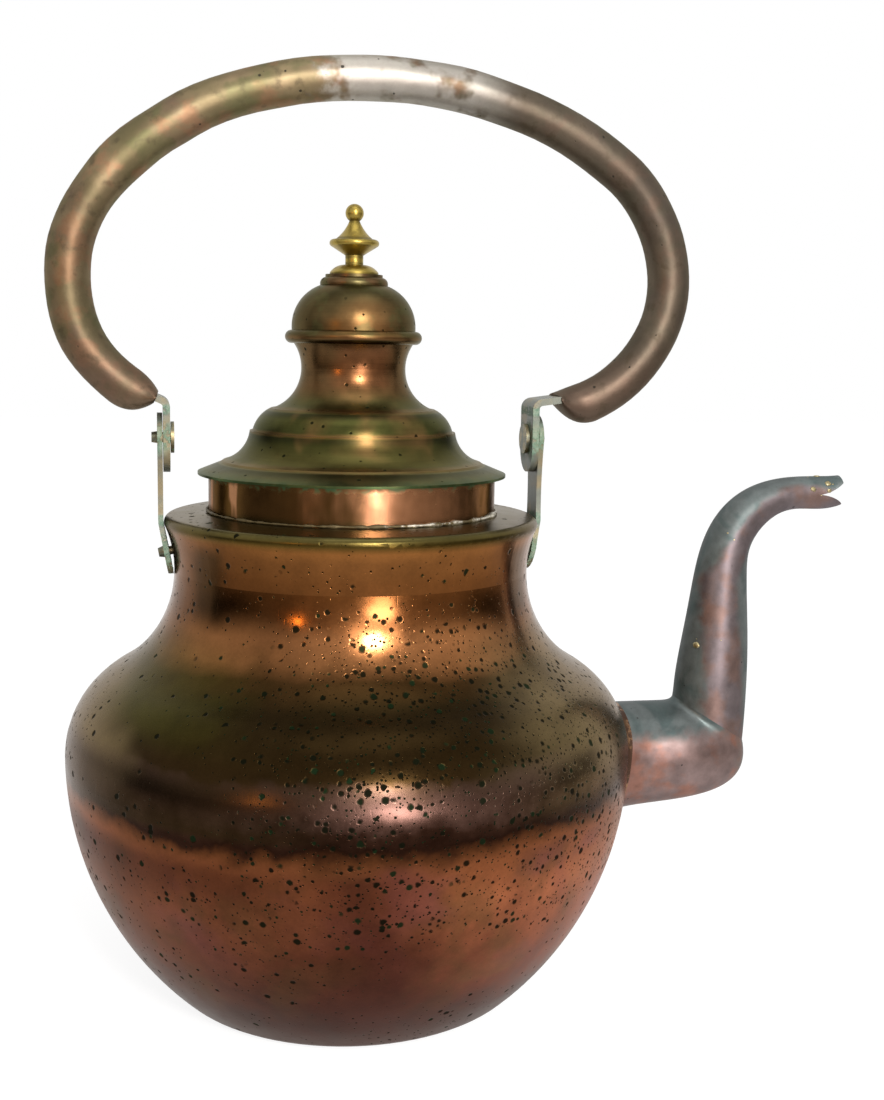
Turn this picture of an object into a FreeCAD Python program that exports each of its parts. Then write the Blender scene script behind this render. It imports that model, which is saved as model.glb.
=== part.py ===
import FreeCAD, Part
import math
import os

from FreeCAD import Vector

# A copper pot for coffee: a raised body, a swan-neck spout, a stepped lid that lifts off
# and a hollow bail that swings on two riveted straps. Millimetres. Z is up from the table,
# the pot's axis is the Z axis, and +X points along the spout.

# Sheet metal and fits
WALL = 1.2                # body, collar and spout
LID_WALL = 1.0            # lid cover, dome and flange
LID_FIT = 0.4             # lid flange inside the collar, on the radius
LID_SEAT_GAP = 0.3        # lid brim above the collar's edge
RIVET_FIT = 0.05          # rivet shanks in their holes, on the radius
PIVOT_PLAY = 0.06         # bail tangs on the pivot rivets, on the radius
LEAF_GAP = 0.25           # beside each tang, between strap and rivet head
SEAT_GAP = 0.2            # straps and roves that lie on a curved wall
SEAM_GAP = 0.05           # soldered seams

# Body
BASE_RADIUS = 72.7        # where the belly's curve would meet the table
BASE_CORNER = 12.0
BELLY_RADIUS = 119.2
BELLY_HEIGHT = 103.0
SHOULDER_ARC = 40.0       # upper belly, before the neck
NECK_RADIUS = 74.0
NECK_HEIGHT = 180.0
RIM_FLARE = 4.0           # rim beyond the neck
RIM_RISE = 19.5           # rim above the neck
RIM_CORNER = 3.0
SHOULDER_SLOPE = 5.0      # degrees

# Mouth collar and its solder bead
COLLAR_RADIUS = 59.8
COLLAR_HEIGHT = 17.0
COLLAR_SEAT = 2.4         # flat of the shoulder on each side of the collar
SOLDER_BEAD = 1.8

# Lid, upwards from the brim
BRIM_OVERHANG = 4.4       # brim beyond the collar
BRIM_SLOPE = 22.0         # degrees
BRIM_CREASE = 0.8         # step where the brim meets the cone
CREASE_RADIUS = 55.0
STEP_RADIUS = 42.8        # foot of the upper step
STEP_RISE = 12.4          # that step above the crease
LIP_RADIUS = 33.0         # foot of the flare to the waist
LIP_RISE = 9.4            # that lip above the step
STEP_LEDGE = 1.1          # each step's ledge
CONE_HOLLOW = 2.6         # depth of the hollow between crease and step
STEP_BULGE = 1.4          # height of the swelling between step and lip
WAIST_RADIUS = 21.6
WAIST_RISE = 16.6         # waist above the lip
BEAD_RISE = 12.7          # bead's middle above the waist
BEAD_RADIUS = 2.7
DOME_RADIUS = 25.6
DOME_SIDE = 1.5           # upright side below its arc
DOME_ARC = 18.0
BOSS_RADIUS = 13.9        # foot of its rounded side
BOSS_BULGE = 0.9          # how far that side swells
BOSS_LIP_RADIUS = 11.8    # upright lip above it
BOSS_LIP = 1.1            # height of the lip
BOSS_HEIGHT = 4.4
FLANGE_DEPTH = 14.0       # lid flange below the brim

# Finial, upwards from the boss
FINIAL_FOOT_RADIUS = 10.0
FINIAL_FOOT_EDGE = 0.9    # upright edge of the foot
FINIAL_FOOT_HEIGHT = 4.0
FINIAL_FOOT_BULGE = 0.9   # how far the foot's top swells
FINIAL_STEM_RADIUS = 3.7
FINIAL_STEM_HEIGHT = 7.8
FINIAL_DISC_RADIUS = 10.2
FINIAL_DISC_HEIGHT = 12.7
FINIAL_DISC_ROLL = 1.5    # radius of the disc's rounded edge
FINIAL_OGEE = 0.7         # depth of the hollow above the disc
FINIAL_THROAT_RADIUS = 2.1
FINIAL_THROAT_HEIGHT = 21.7
FINIAL_BALL_RADIUS = 3.75
SHANK_RADIUS = 2.4
CLENCH_RADIUS = 3.6
CLENCH_HEIGHT = 1.2
ROVE_THICKNESS = 1.0
FINIAL_ROVE_RADIUS = 6.0

# Spout
SPOUT_HEIGHT = 92.3       # axis at the belly
SPOUT_ROOT_RADIUS = 23.7
SPOUT_CLIMB = 3.6         # degrees that the lower tube climbs
ELBOW_REACH = 29.0        # inner corner of the elbow beyond the belly
ELBOW_DEPTH = 44.7        # lower tube's depth below that corner
ELBOW_CROOK = 4.0         # radius of the inner corner
ELBOW_CORNER = 30.0       # outer corner beyond the inner one
ELBOW_CLIMB = 7.0         # degrees that the lower tube's underside climbs
MITRE_LENGTH = 37.4       # joint between elbow and neck, seen from the side
MITRE_WIDTH = 34.0
MITRE_ANGLE = 32.0        # degrees that the joint falls outwards
SPOUT_NECK_RADIUS = 15.2  # neck, one diameter above the joint
SPOUT_NECK_HEIGHT = 178.0   # where the neck starts to bend
SPOUT_NECK_LEAN = 3.0     # degrees outwards
SPOUT_BEND_RADIUS = 34.0
SPOUT_THROAT_RADIUS = 11.2  # where the bend starts
BEAK_RADIUS = 7.3         # where the bend ends
BEAK_TIP_RADIUS = 6.8
BEAK_LENGTH = 22.2
BEAK_RISE = 3.0           # degrees
BEAK_GAPE = 11.5          # depth of the open beak
BEAK_JAW = 1.4            # metal left at the jaws' tips
SPOUT_FILLET = 5.0

# Straps, rivets and pivots
STRAP_THICKNESS = 2.1
STRAP_HEAD_RADIUS = 10.0
STRAP_WAIST = 7.2         # half width between head and foot
STRAP_FOOT = 9.5          # half width at the foot
STRAP_FOOT_DROP = 21.5    # foot's end below the rim
FOOT_RIVET_DROP = 12.0    # foot rivet below the rim
RIVET_RADIUS = 1.8
RIVET_HEAD_RADIUS = 2.45
RIVET_HEAD_HEIGHT = 2.3
STRAP_ROVE_RADIUS = 4.5
PIVOT_RISE = 34.7         # pivots above the rim
PIVOT_RADIUS = 2.1
PIVOT_DISC_RADIUS = 6.4
PIVOT_DISC_HEIGHT = 1.4

# Bail
BAIL_RADIUS = 8.9
BAIL_WALL = 1.2
BAIL_CROWN_ARC = 171.6
BAIL_SIDE_ARC = 56.4
BAIL_SIDE_SPREAD = 69.1   # centres of the side arcs, from the loop's middle
BAIL_SHIFT = 10.8         # loop's middle, towards the spout
BAIL_LEAN = 1.0           # degrees that the spout's side of the loop stands higher
BAIL_RISE = 66.6          # loop's middle above the pivots
BAIL_PINCH = 15.0         # length of the flattened ends
PINCH_FLATTENING = 0.3    # share of its height that the tube loses half way along them
TANG_THICKNESS = 2.8
TANG_HALF_WIDTH = 10.0
TANG_DROP = 14.2          # tang's end below the pivot
TANG_BEND = 1.6           # inner radius of its bend
TANG_GRIP = 9.0           # length held in the tube
TANG_GRIP_HALF_WIDTH = 5.5
MOUTH_LIFT_LEFT = 2.6     # tube's mouth above its middle line
MOUTH_LIFT_RIGHT = 5.0
MOUTH_GAP_LEFT = 2.6      # tube's mouth beyond the tang
MOUTH_GAP_RIGHT = 9.5

# Heights and radii that follow from those
RIM_RADIUS = NECK_RADIUS + RIM_FLARE
RIM_HEIGHT = NECK_HEIGHT + RIM_RISE
COLLAR_BORE = COLLAR_RADIUS - WALL
MOUTH_RADIUS = COLLAR_BORE - COLLAR_SEAT
BRIM_RADIUS = COLLAR_RADIUS + BRIM_OVERHANG
PIVOT_HEIGHT = RIM_HEIGHT + PIVOT_RISE
STRAP_FACE = RIM_RADIUS + SEAT_GAP
TANG_FACE = STRAP_FACE - LEAF_GAP
TANG_MIDDLE = TANG_FACE - TANG_THICKNESS / 2

Z_AXIS = Vector(0, 0, 1)
Y_AXIS = Vector(0, 1, 0)


def flat(r, z):
    """Point of the XZ plane."""
    return Vector(r, 0, z)


def line(start, end):
    return Part.LineSegment(start, end).toShape()


def arc(start, middle, end):
    return Part.Arc(start, middle, end).toShape()


def arc_about(centre, radius, from_angle, to_angle):
    """Arc in the XZ plane; angles in radians from +X towards +Z."""
    middle = (from_angle + to_angle) / 2
    points = [centre + flat(math.cos(a), math.sin(a)) * radius for a in (from_angle, middle, to_angle)]
    return arc(*points)


def joined(edges):
    """Closed face from edges in order, with straight runs where two of them don't meet."""
    run = []
    for number, edge in enumerate(edges):
        run.append(edge)
        end = edge.lastVertex(True).Point
        following = edges[(number + 1) % len(edges)].firstVertex(True).Point
        if end.distanceToPoint(following) > 1e-6:
            run.append(line(end, following))
    return Part.Face(Part.Wire(run))


def blend(first, last, share):
    """Number or point part of the way from the first to the last."""
    return first + (last - first) * share


def polygon(*points):
    return Part.Face(Part.makePolygon(list(points) + [points[0]]))


def turned(face):
    """Solid of revolution about the pot's axis."""
    return face.revolve(Vector(0, 0, 0), Z_AXIS, 360)


def thickened(face, half_width):
    """Face of the XZ plane, spread along Y to both sides."""
    face.translate(Y_AXIS * -half_width)
    return face.extrude(Y_AXIS * 2 * half_width)


def tube(outer_radius, inner_radius, low, high):
    outer = Part.makeCylinder(outer_radius, high - low, flat(0, low))
    return outer.cut(Part.makeCylinder(inner_radius, high - low, flat(0, low)))


def mirrored(shape):
    """The same piece on the left of the pot."""
    return shape.mirror(Vector(0, 0, 0), Vector(1, 0, 0))


def deep_arc(convex_centre, convex_radius, throat):
    """Centre of the hollow arc that leaves a throat upright and runs into a round corner."""
    across = throat.x - convex_centre.x
    along = throat.z - convex_centre.z
    radius = (across ** 2 + along ** 2 - convex_radius ** 2) / (2 * (convex_radius - across))
    return throat + flat(radius, 0), radius


def direction(start, end):
    return math.atan2(end.z - start.z, end.x - start.x)


# Body

def body_side(inset):
    """Edges of the body's side, from the middle of the base to the collar's seat.

    The inner face has the same centres, with each radius changed by the wall.
    """
    lower_arc = ((BELLY_RADIUS - BASE_RADIUS) ** 2 + BELLY_HEIGHT ** 2) / (2 * (BELLY_RADIUS - BASE_RADIUS))
    lower = flat(BELLY_RADIUS - lower_arc, BELLY_HEIGHT)
    corner_reach = math.sqrt((lower_arc - BASE_CORNER) ** 2 - (BELLY_HEIGHT - BASE_CORNER) ** 2)
    corner = flat(lower.x + corner_reach, BASE_CORNER)
    corner_angle = direction(lower, corner)
    shoulder = flat(BELLY_RADIUS - SHOULDER_ARC, BELLY_HEIGHT)
    throat = flat(NECK_RADIUS, NECK_HEIGHT)
    neck, neck_arc = deep_arc(shoulder, SHOULDER_ARC, throat)
    rim = flat(RIM_RADIUS - RIM_CORNER, RIM_HEIGHT)
    flare, flare_arc = deep_arc(rim, RIM_CORNER, throat)
    slope = math.radians(SHOULDER_SLOPE)
    shoulder_end = rim + flat(math.sin(slope), math.cos(slope)) * (RIM_CORNER - inset)
    seat_start = flat(COLLAR_RADIUS + COLLAR_SEAT, seat_height() - inset)
    return [
        line(flat(0, inset), flat(corner.x, inset)),
        arc_about(corner, BASE_CORNER - inset, -math.pi / 2, corner_angle),
        arc_about(lower, lower_arc - inset, corner_angle, 0),
        arc_about(shoulder, SHOULDER_ARC - inset, 0, direction(shoulder, neck)),
        arc_about(neck, neck_arc + inset, direction(shoulder, neck) + math.pi, math.pi),
        arc_about(flare, flare_arc + inset, math.pi, direction(rim, flare) + math.pi),
        arc_about(rim, RIM_CORNER - inset, direction(rim, flare), math.pi / 2 - slope),
        line(shoulder_end, seat_start),
        line(seat_start, flat(MOUTH_RADIUS, seat_height() - inset)),
    ]


def seat_height():
    """Top of the shoulder where the collar stands."""
    slope = math.radians(SHOULDER_SLOPE)
    start = flat(RIM_RADIUS - RIM_CORNER, RIM_HEIGHT) + flat(math.sin(slope), math.cos(slope)) * RIM_CORNER
    return start.z + (start.x - COLLAR_RADIUS - COLLAR_SEAT) * math.tan(slope)


def body_block(inset):
    """The body's form as a full solid, drawn in by the inset."""
    top = seat_height() - inset
    return turned(joined(body_side(inset) + [line(flat(MOUTH_RADIUS, top), flat(0, top))]))


def body_shell():
    """Raised sheet with the mouth, the way into the spout and the holes for the foot rivets."""
    mouth_hole = Part.makeCylinder(MOUTH_RADIUS, COLLAR_HEIGHT, flat(0, seat_height() - COLLAR_HEIGHT / 2))
    shell = body_block(0).cut(body_block(WALL))
    for hole in (mouth_hole, elbow_loft(WALL), foot_hole(), mirrored(foot_hole())):
        shell = shell.cut(hole)
    return shell


def mouth_collar():
    return tube(COLLAR_RADIUS, COLLAR_BORE, seat_height(), collar_top())


def collar_top():
    return seat_height() + COLLAR_HEIGHT


def collar_solder():
    """Bead of solder in the corner between collar and shoulder."""
    corner = flat(COLLAR_RADIUS, seat_height())
    return turned(polygon(corner, corner + flat(SOLDER_BEAD, 0), corner + flat(0, SOLDER_BEAD)))


# Spout

def oval(middle, along, half_length, across, half_width):
    """Oval section: its longer half along one direction, its shorter half across it."""
    curve = Part.Ellipse(middle, max(half_length, half_width), half_width)
    curve.Axis = along.cross(across)
    curve.XAxis = along
    return Part.Wire(curve.toShape())


def ring(inner_edge, outer_edge, half_width):
    """Oval section between two points of the XZ plane, half_width to each side."""
    middle = (inner_edge + outer_edge) / 2
    out = inner_edge - middle
    return oval(middle, out, out.Length, Y_AXIS, half_width)


def round_section(middle, heading, radius):
    """Round section square to a heading, an angle in the XZ plane."""
    across = flat(-math.sin(heading), math.cos(heading)) * radius
    return ring(middle + across, middle - across, radius)


def elbow_corner():
    """Inner corner of the elbow, level with the top of the lower tube, before it is rounded."""
    return flat(BELLY_RADIUS + ELBOW_REACH, SPOUT_HEIGHT + SPOUT_ROOT_RADIUS)


def crook(turn):
    """Point of the rounded inner corner, turn degrees along it."""
    centre = elbow_corner() + flat(-ELBOW_CROOK, ELBOW_CROOK)
    angle = math.radians(turn - 90)
    return centre + flat(math.cos(angle), math.sin(angle)) * ELBOW_CROOK


def slanted_section(inner, outer, half_width, inset):
    """Oval section between two points of the XZ plane, drawn in by the inset."""
    along = (outer - inner).normalize() * inset
    return ring(inner + along, outer - along, half_width - inset)


def mitre(inset):
    """Section of the joint between elbow and neck."""
    fall = -math.radians(MITRE_ANGLE)
    inner = crook(90 - MITRE_ANGLE)
    outer = inner + flat(math.cos(fall), math.sin(fall)) * MITRE_LENGTH
    return slanted_section(inner, outer, MITRE_WIDTH / 2, inset)


def elbow_loft(inset):
    """Lower tube and elbow, from inside the belly to the joint."""
    climb = math.radians(SPOUT_CLIMB)
    root = flat(BELLY_RADIUS, SPOUT_HEIGHT)
    inside = root - flat(1, math.tan(climb)) * SPOUT_ROOT_RADIUS
    inner = crook(0)
    half = ELBOW_DEPTH / 2

    def underside(reach):
        return inner + flat(reach, reach * math.tan(math.radians(ELBOW_CLIMB)) - ELBOW_DEPTH)

    near = ELBOW_REACH / 3
    corner = underside(ELBOW_CORNER) + flat(0, ELBOW_CROOK)
    return Part.makeLoft([
        round_section(inside, climb, SPOUT_ROOT_RADIUS - inset),
        round_section(root, climb, SPOUT_ROOT_RADIUS - inset),
        slanted_section(inner - flat(near, 0), underside(-near), half, inset),
        slanted_section(inner, underside(ELBOW_CORNER / 2), half, inset),
        slanted_section(crook((90 - MITRE_ANGLE) / 2), corner, blend(half, MITRE_WIDTH / 2, 0.5), inset),
        mitre(inset),
    ], True)


def spout_elbow():
    return elbow_loft(0).cut(elbow_loft(WALL)).cut(body_block(0))


def neck_line():
    """Heading of the neck's straight run, its start at the joint and its end at the bend."""
    lean = math.radians(SPOUT_NECK_LEAN)
    heading = flat(math.sin(lean), math.cos(lean))
    joint = mitre(0).BoundBox.Center
    return heading, joint, joint + heading * ((SPOUT_NECK_HEIGHT - joint.z) / heading.z)


def bend_point(turn):
    """Point of the bend's middle line where the neck's heading is turn, in radians."""
    heading, joint, start = neck_line()
    centre = start + flat(heading.z, -heading.x) * SPOUT_BEND_RADIUS
    return centre + flat(-math.sin(turn), math.cos(turn)) * SPOUT_BEND_RADIUS


def beak_tip():
    rise = math.radians(BEAK_RISE)
    return bend_point(rise) + flat(math.cos(rise), math.sin(rise)) * BEAK_LENGTH


def neck_sections(inset):
    """Neck from the joint, up its leaning run, round the bend and out to the beak's tip."""
    lean = math.radians(90 - SPOUT_NECK_LEAN)
    rise = math.radians(BEAK_RISE)
    heading, joint, bend_start = neck_line()
    foot = joint + heading * SPOUT_NECK_RADIUS
    low = foot + heading * SPOUT_NECK_RADIUS
    tilt = lean - math.radians(MITRE_ANGLE) / 3
    sections = [mitre(inset), round_section(foot, tilt, SPOUT_NECK_RADIUS + WALL - inset)]
    for share in (0, 0.5, 1):
        radius = blend(SPOUT_NECK_RADIUS, SPOUT_THROAT_RADIUS, share)
        sections.append(round_section(blend(low, bend_start, share), lean, radius - inset))
    for share in (1 / 3, 2 / 3, 1):
        turn = blend(lean, rise, share)
        radius = blend(SPOUT_THROAT_RADIUS, BEAK_RADIUS, share)
        sections.append(round_section(bend_point(turn), turn, radius - inset))
    sections.append(round_section(beak_tip(), rise, BEAK_TIP_RADIUS - inset))
    return sections


def sheet_tube(outer, inner):
    """Tube of sheet metal between two runs of sections, open at both ends."""
    walls = Part.makeLoft(outer).Faces + Part.makeLoft(inner).Faces
    ends = [Part.Face([outer[number], inner[number]]) for number in (0, -1)]
    shell = Part.makeShell(walls + ends)
    shell.sewShape()
    solid = Part.makeSolid(shell)
    solid.fix(1e-4, 1e-4, 1e-3)
    return solid


def beak_notch():
    """The open mouth between the jaws: two curves from its corner to the jaws' tips."""
    tip = beak_tip()
    corner = tip - flat(BEAK_GAPE, BEAK_JAW)
    reach = BEAK_TIP_RADIUS - BEAK_JAW
    beyond = flat(BEAK_JAW, 0)
    upper = tip + beyond + flat(0, reach)
    lower = tip + beyond - flat(0, reach + BEAK_JAW)
    upper_bulge = blend(corner, upper, 0.5) - flat(0, BEAK_JAW)
    lower_bulge = blend(corner, lower, 0.5) + flat(0, BEAK_JAW)
    gape = joined([arc(corner, upper_bulge, upper), line(upper, lower), arc(lower, lower_bulge, corner)])
    return thickened(gape, 2 * BEAK_TIP_RADIUS)


def spout_neck():
    return sheet_tube(neck_sections(0), neck_sections(WALL)).cut(beak_notch())


def spout_solder():
    """Fillet of solder round the root of the spout."""
    block = body_block(0)
    root = elbow_loft(0)
    both = block.fuse(root)
    seam = [edge for edge in both.Edges if on_both(edge, block, root)]
    filled = both.makeFillet(SPOUT_FILLET, seam)
    return filled.cut(block).cut(root)


def on_both(edge, first, second):
    """True for the edges of the seam between two joined solids."""
    points = edge.discretize(7)[1:-1]
    faces = first.Shells[0], second.Shells[0]
    return all(face.distToShape(Part.Vertex(point))[0] < 1e-3 for point in points for face in faces)


# Straps and their rivets

def foot_line():
    """Inner face of the strap's foot, from the rim down to the neck."""
    top = flat(STRAP_FACE, RIM_HEIGHT)
    end = flat(NECK_RADIUS + SEAT_GAP, RIM_HEIGHT - STRAP_FOOT_DROP)
    return top, end


def strap():
    """Leaf with a round head, bent at the rim to lie along the neck."""
    top, end = foot_line()
    head_top = flat(STRAP_FACE, PIVOT_HEIGHT + STRAP_HEAD_RADIUS)
    away = foot_normal() * STRAP_THICKNESS
    half_bend = direction(end, top) / 2 - math.pi / 4
    outer_bend = top + flat(1, -math.tan(half_bend)) * STRAP_THICKNESS
    side = polygon(head_top, top, end, end + away, outer_bend, head_top + flat(STRAP_THICKNESS, 0))
    leaf = thickened(side, STRAP_HEAD_RADIUS + STRAP_FOOT).common(strap_outline())
    pivot_hole = Part.makeCylinder(
        PIVOT_RADIUS + RIVET_FIT, 2 * STRAP_FACE, flat(0, PIVOT_HEIGHT), Vector(1, 0, 0))
    return leaf.cut(pivot_hole).cut(foot_hole())


def strap_outline():
    """Outline of the leaf seen along X, as a long prism."""
    waist_height = (PIVOT_HEIGHT + RIM_HEIGHT) / 2 - STRAP_WAIST
    foot_end = RIM_HEIGHT - STRAP_FOOT_DROP
    foot_height = foot_end + STRAP_FOOT

    def at(y, z):
        return Vector(0, y, z)

    outline = Part.Face(Part.Wire([
        arc(at(-STRAP_HEAD_RADIUS, PIVOT_HEIGHT), at(0, PIVOT_HEIGHT + STRAP_HEAD_RADIUS),
            at(STRAP_HEAD_RADIUS, PIVOT_HEIGHT)),
        arc(at(STRAP_HEAD_RADIUS, PIVOT_HEIGHT), at(STRAP_WAIST, waist_height), at(STRAP_FOOT, foot_height)),
        arc(at(STRAP_FOOT, foot_height), at(0, foot_end), at(-STRAP_FOOT, foot_height)),
        arc(at(-STRAP_FOOT, foot_height), at(-STRAP_WAIST, waist_height),
            at(-STRAP_HEAD_RADIUS, PIVOT_HEIGHT)),
    ]))
    return outline.extrude(Vector(2 * STRAP_FACE, 0, 0))


def foot_normal():
    """Outward direction of the strap's foot."""
    top, end = foot_line()
    along = (top - end).normalize()
    return flat(along.z, -along.x)


def foot_rivet_seat():
    """Where the foot rivet's axis passes the strap's inner face."""
    top, end = foot_line()
    return top + (end - top) * (FOOT_RIVET_DROP / STRAP_FOOT_DROP)


def foot_hole():
    outwards = foot_normal()
    start = foot_rivet_seat() - outwards * NECK_RADIUS / 2
    return Part.makeCylinder(RIVET_RADIUS + RIVET_FIT, NECK_RADIUS, start, outwards)


def rove_depth():
    """How far inside the strap's inner face the rove lies, clear of the curved wall."""
    seat = foot_rivet_seat()
    throat = flat(NECK_RADIUS, NECK_HEIGHT)
    rim = flat(RIM_RADIUS - RIM_CORNER, RIM_HEIGHT)
    flare, flare_arc = deep_arc(rim, RIM_CORNER, throat)
    gap = flare_arc - flare.distanceToPoint(seat)
    return gap + WALL + 2 * SEAT_GAP


def strap_rivet():
    """Round-headed rivet through strap and neck, clenched over its rove."""
    outwards = foot_normal()
    face = foot_rivet_seat()
    clench = face - outwards * (rove_depth() + ROVE_THICKNESS)
    shank_length = rove_depth() + ROVE_THICKNESS + STRAP_THICKNESS
    shank = Part.makeCylinder(RIVET_RADIUS, shank_length, clench, outwards)
    head = Part.makeCone(RIVET_HEAD_RADIUS, RIVET_RADIUS, RIVET_HEAD_HEIGHT,
                         face + outwards * STRAP_THICKNESS, outwards)
    tail = Part.makeCone(RIVET_HEAD_RADIUS, RIVET_RADIUS, CLENCH_HEIGHT, clench, outwards * -1)
    return shank.fuse([head, tail]).removeSplitter()


def strap_rove():
    outwards = foot_normal()
    start = foot_rivet_seat() - outwards * (rove_depth() + ROVE_THICKNESS)
    plate = Part.makeCylinder(STRAP_ROVE_RADIUS, ROVE_THICKNESS, start, outwards)
    return plate.cut(Part.makeCylinder(RIVET_RADIUS + RIVET_FIT, ROVE_THICKNESS, start, outwards))


def pivot_rivet():
    """Hinge pin: a large flat head inside the tang and a clenched end outside the strap."""
    outwards = Vector(1, 0, 0)
    disc_start = TANG_FACE - TANG_THICKNESS - LEAF_GAP - PIVOT_DISC_HEIGHT
    strap_back = STRAP_FACE + STRAP_THICKNESS
    disc = Part.makeCylinder(PIVOT_DISC_RADIUS, PIVOT_DISC_HEIGHT, flat(disc_start, PIVOT_HEIGHT), outwards)
    shank = Part.makeCylinder(PIVOT_RADIUS, strap_back - disc_start, flat(disc_start, PIVOT_HEIGHT), outwards)
    head = Part.makeCone(RIVET_HEAD_RADIUS, PIVOT_RADIUS, RIVET_HEAD_HEIGHT,
                         flat(strap_back, PIVOT_HEIGHT), outwards)
    return disc.fuse([shank, head]).removeSplitter()


# Bail

def bail_middle():
    """Middle of the loop, half way between the side arcs' centres."""
    return flat(BAIL_SHIFT, PIVOT_HEIGHT + BAIL_RISE)


def side_centre(side):
    """Centre of the loop's side arc; side is 1 towards the spout and -1 away from it."""
    lean = math.radians(BAIL_LEAN) * side
    return bail_middle() + flat(side * math.cos(lean), math.sin(abs(lean)) * side) * BAIL_SIDE_SPREAD


def crown_centre():
    """The crown's arc touches both side arcs."""
    lean = math.radians(BAIL_LEAN)
    drop = math.sqrt((BAIL_CROWN_ARC - BAIL_SIDE_ARC) ** 2 - BAIL_SIDE_SPREAD ** 2)
    return bail_middle() - flat(-math.sin(lean), math.cos(lean)) * drop


def mouth_lift(side):
    return MOUTH_LIFT_RIGHT if side > 0 else MOUTH_LIFT_LEFT


def mouth(side):
    """Middle of the tube's flattened mouth, and the tube's heading there."""
    gap = MOUTH_GAP_RIGHT if side > 0 else MOUTH_GAP_LEFT
    centre = side_centre(side)
    x = side * (TANG_MIDDLE + TANG_THICKNESS / 2 + gap)
    angle = -math.acos((x - centre.x) / BAIL_SIDE_ARC)
    on_arc = centre + flat(math.cos(angle), math.sin(angle)) * BAIL_SIDE_ARC
    return on_arc + flat(0, mouth_lift(side)), angle


def swept(radius, centre, arc_radius, from_angle, to_angle):
    """Tube bent about a centre in the XZ plane."""
    start = centre + flat(math.cos(from_angle), math.sin(from_angle)) * arc_radius
    along = flat(-math.sin(from_angle), math.cos(from_angle))
    disc = Part.Face(Part.Wire(Part.Circle(start, along, radius).toShape()))
    return disc.revolve(centre, Y_AXIS, -math.degrees(to_angle - from_angle))


def pinch(side, inset, start_angle):
    """Flattened end of the tube: the outside runs to the mouth, the hollow only half way."""
    centre = side_centre(side)
    middle, end_angle = mouth(side)
    sections = []
    for share in (0, 0.5):
        angle = blend(start_angle, end_angle, share)
        out = flat(math.cos(angle), math.sin(angle))
        point = centre + out * BAIL_SIDE_ARC + flat(0, mouth_lift(side) / 2) * share
        radius = BAIL_RADIUS - inset
        sections.append(wide_section(point, out, radius, radius * (1 - PINCH_FLATTENING * share)))
    if inset == 0:
        out = flat(math.cos(end_angle), math.sin(end_angle))
        half_height = TANG_THICKNESS / 2 + BAIL_WALL
        sections.append(wide_section(middle, out, TANG_HALF_WIDTH + BAIL_WALL, half_height))
    return Part.makeLoft(sections, True, False)


def wide_section(middle, out, half_width, half_height):
    """Oval section that is wider along Y than it is high."""
    return oval(middle, Y_AXIS, half_width, out, half_height)


def bail_core(inset):
    """The bent tube and its flattened ends, piece by piece."""
    crown = crown_centre()
    right_join = direction(crown, side_centre(1))
    left_join = direction(crown, side_centre(-1))
    pinch_turn = BAIL_PINCH / BAIL_SIDE_ARC
    right_end = mouth(1)[1] + pinch_turn
    left_end = mouth(-1)[1] - pinch_turn
    radius = BAIL_RADIUS - inset
    return [
        swept(radius, side_centre(1), BAIL_SIDE_ARC, right_end, right_join),
        swept(radius, crown, BAIL_CROWN_ARC, right_join, left_join),
        swept(radius, side_centre(-1), BAIL_SIDE_ARC, left_join, left_end + 2 * math.pi),
        pinch(1, inset, right_end),
        pinch(-1, inset, left_end),
    ]


def bail_tube():
    outer = bail_core(0)
    inner = bail_core(BAIL_WALL)
    hollow = inner[0].fuse(inner[1:])
    grip = outer[0].fuse(outer[1:]).cut(hollow)
    return grip.cut(bail_tang(1)).cut(bail_tang(-1))


def bail_tang(side):
    """Flat tongue: gripped in the tube's mouth, bent down at the strap and bored for the pivot."""
    middle, angle = mouth(side)
    inwards = flat(-math.sin(angle), math.cos(angle)) * side
    half = TANG_THICKNESS / 2
    leaf_x = side * TANG_MIDDLE
    bend = middle - inwards * ((middle.x - leaf_x) / inwards.x)
    end = flat(leaf_x, PIVOT_HEIGHT - TANG_DROP)
    up = flat(-inwards.z, inwards.x) * half * side
    out = flat(half * side, 0)
    turn = math.pi / 2 - math.atan2(inwards.z, inwards.x * side)
    shift = half * math.tan(turn / 2)
    outer_corner = bend - out + flat(0, shift)
    inner_corner = bend + out - flat(0, shift)
    plate = polygon(middle + up, outer_corner, end - out, end + out, inner_corner, middle - up)
    plate = thickened(plate, TANG_HALF_WIDTH)
    plate = rounded_bend(plate, outer_corner, TANG_BEND + TANG_THICKNESS)
    plate = rounded_bend(plate, inner_corner, TANG_BEND).common(tang_outline())
    bore = Part.makeCylinder(
        PIVOT_RADIUS + PIVOT_PLAY, 4 * STRAP_FACE, flat(-2 * STRAP_FACE, PIVOT_HEIGHT), Vector(1, 0, 0))
    return plate.cut(bore).fuse(tang_grip(middle, inwards, up)).removeSplitter()


def tang_grip(middle, inwards, up):
    """Narrow end of the tongue, inside the tube."""
    deep = middle + inwards * TANG_GRIP
    return thickened(polygon(middle + up, middle - up, deep - up, deep + up), TANG_GRIP_HALF_WIDTH)


def rounded_bend(plate, corner, radius):
    """Round the edge along Y that passes a corner of the XZ plane."""
    edges = [edge for edge in plate.Edges
             if all(flat(v.X, v.Z).distanceToPoint(corner) < 1e-6 for v in edge.Vertexes)]
    return plate.makeFillet(radius, edges)


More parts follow.
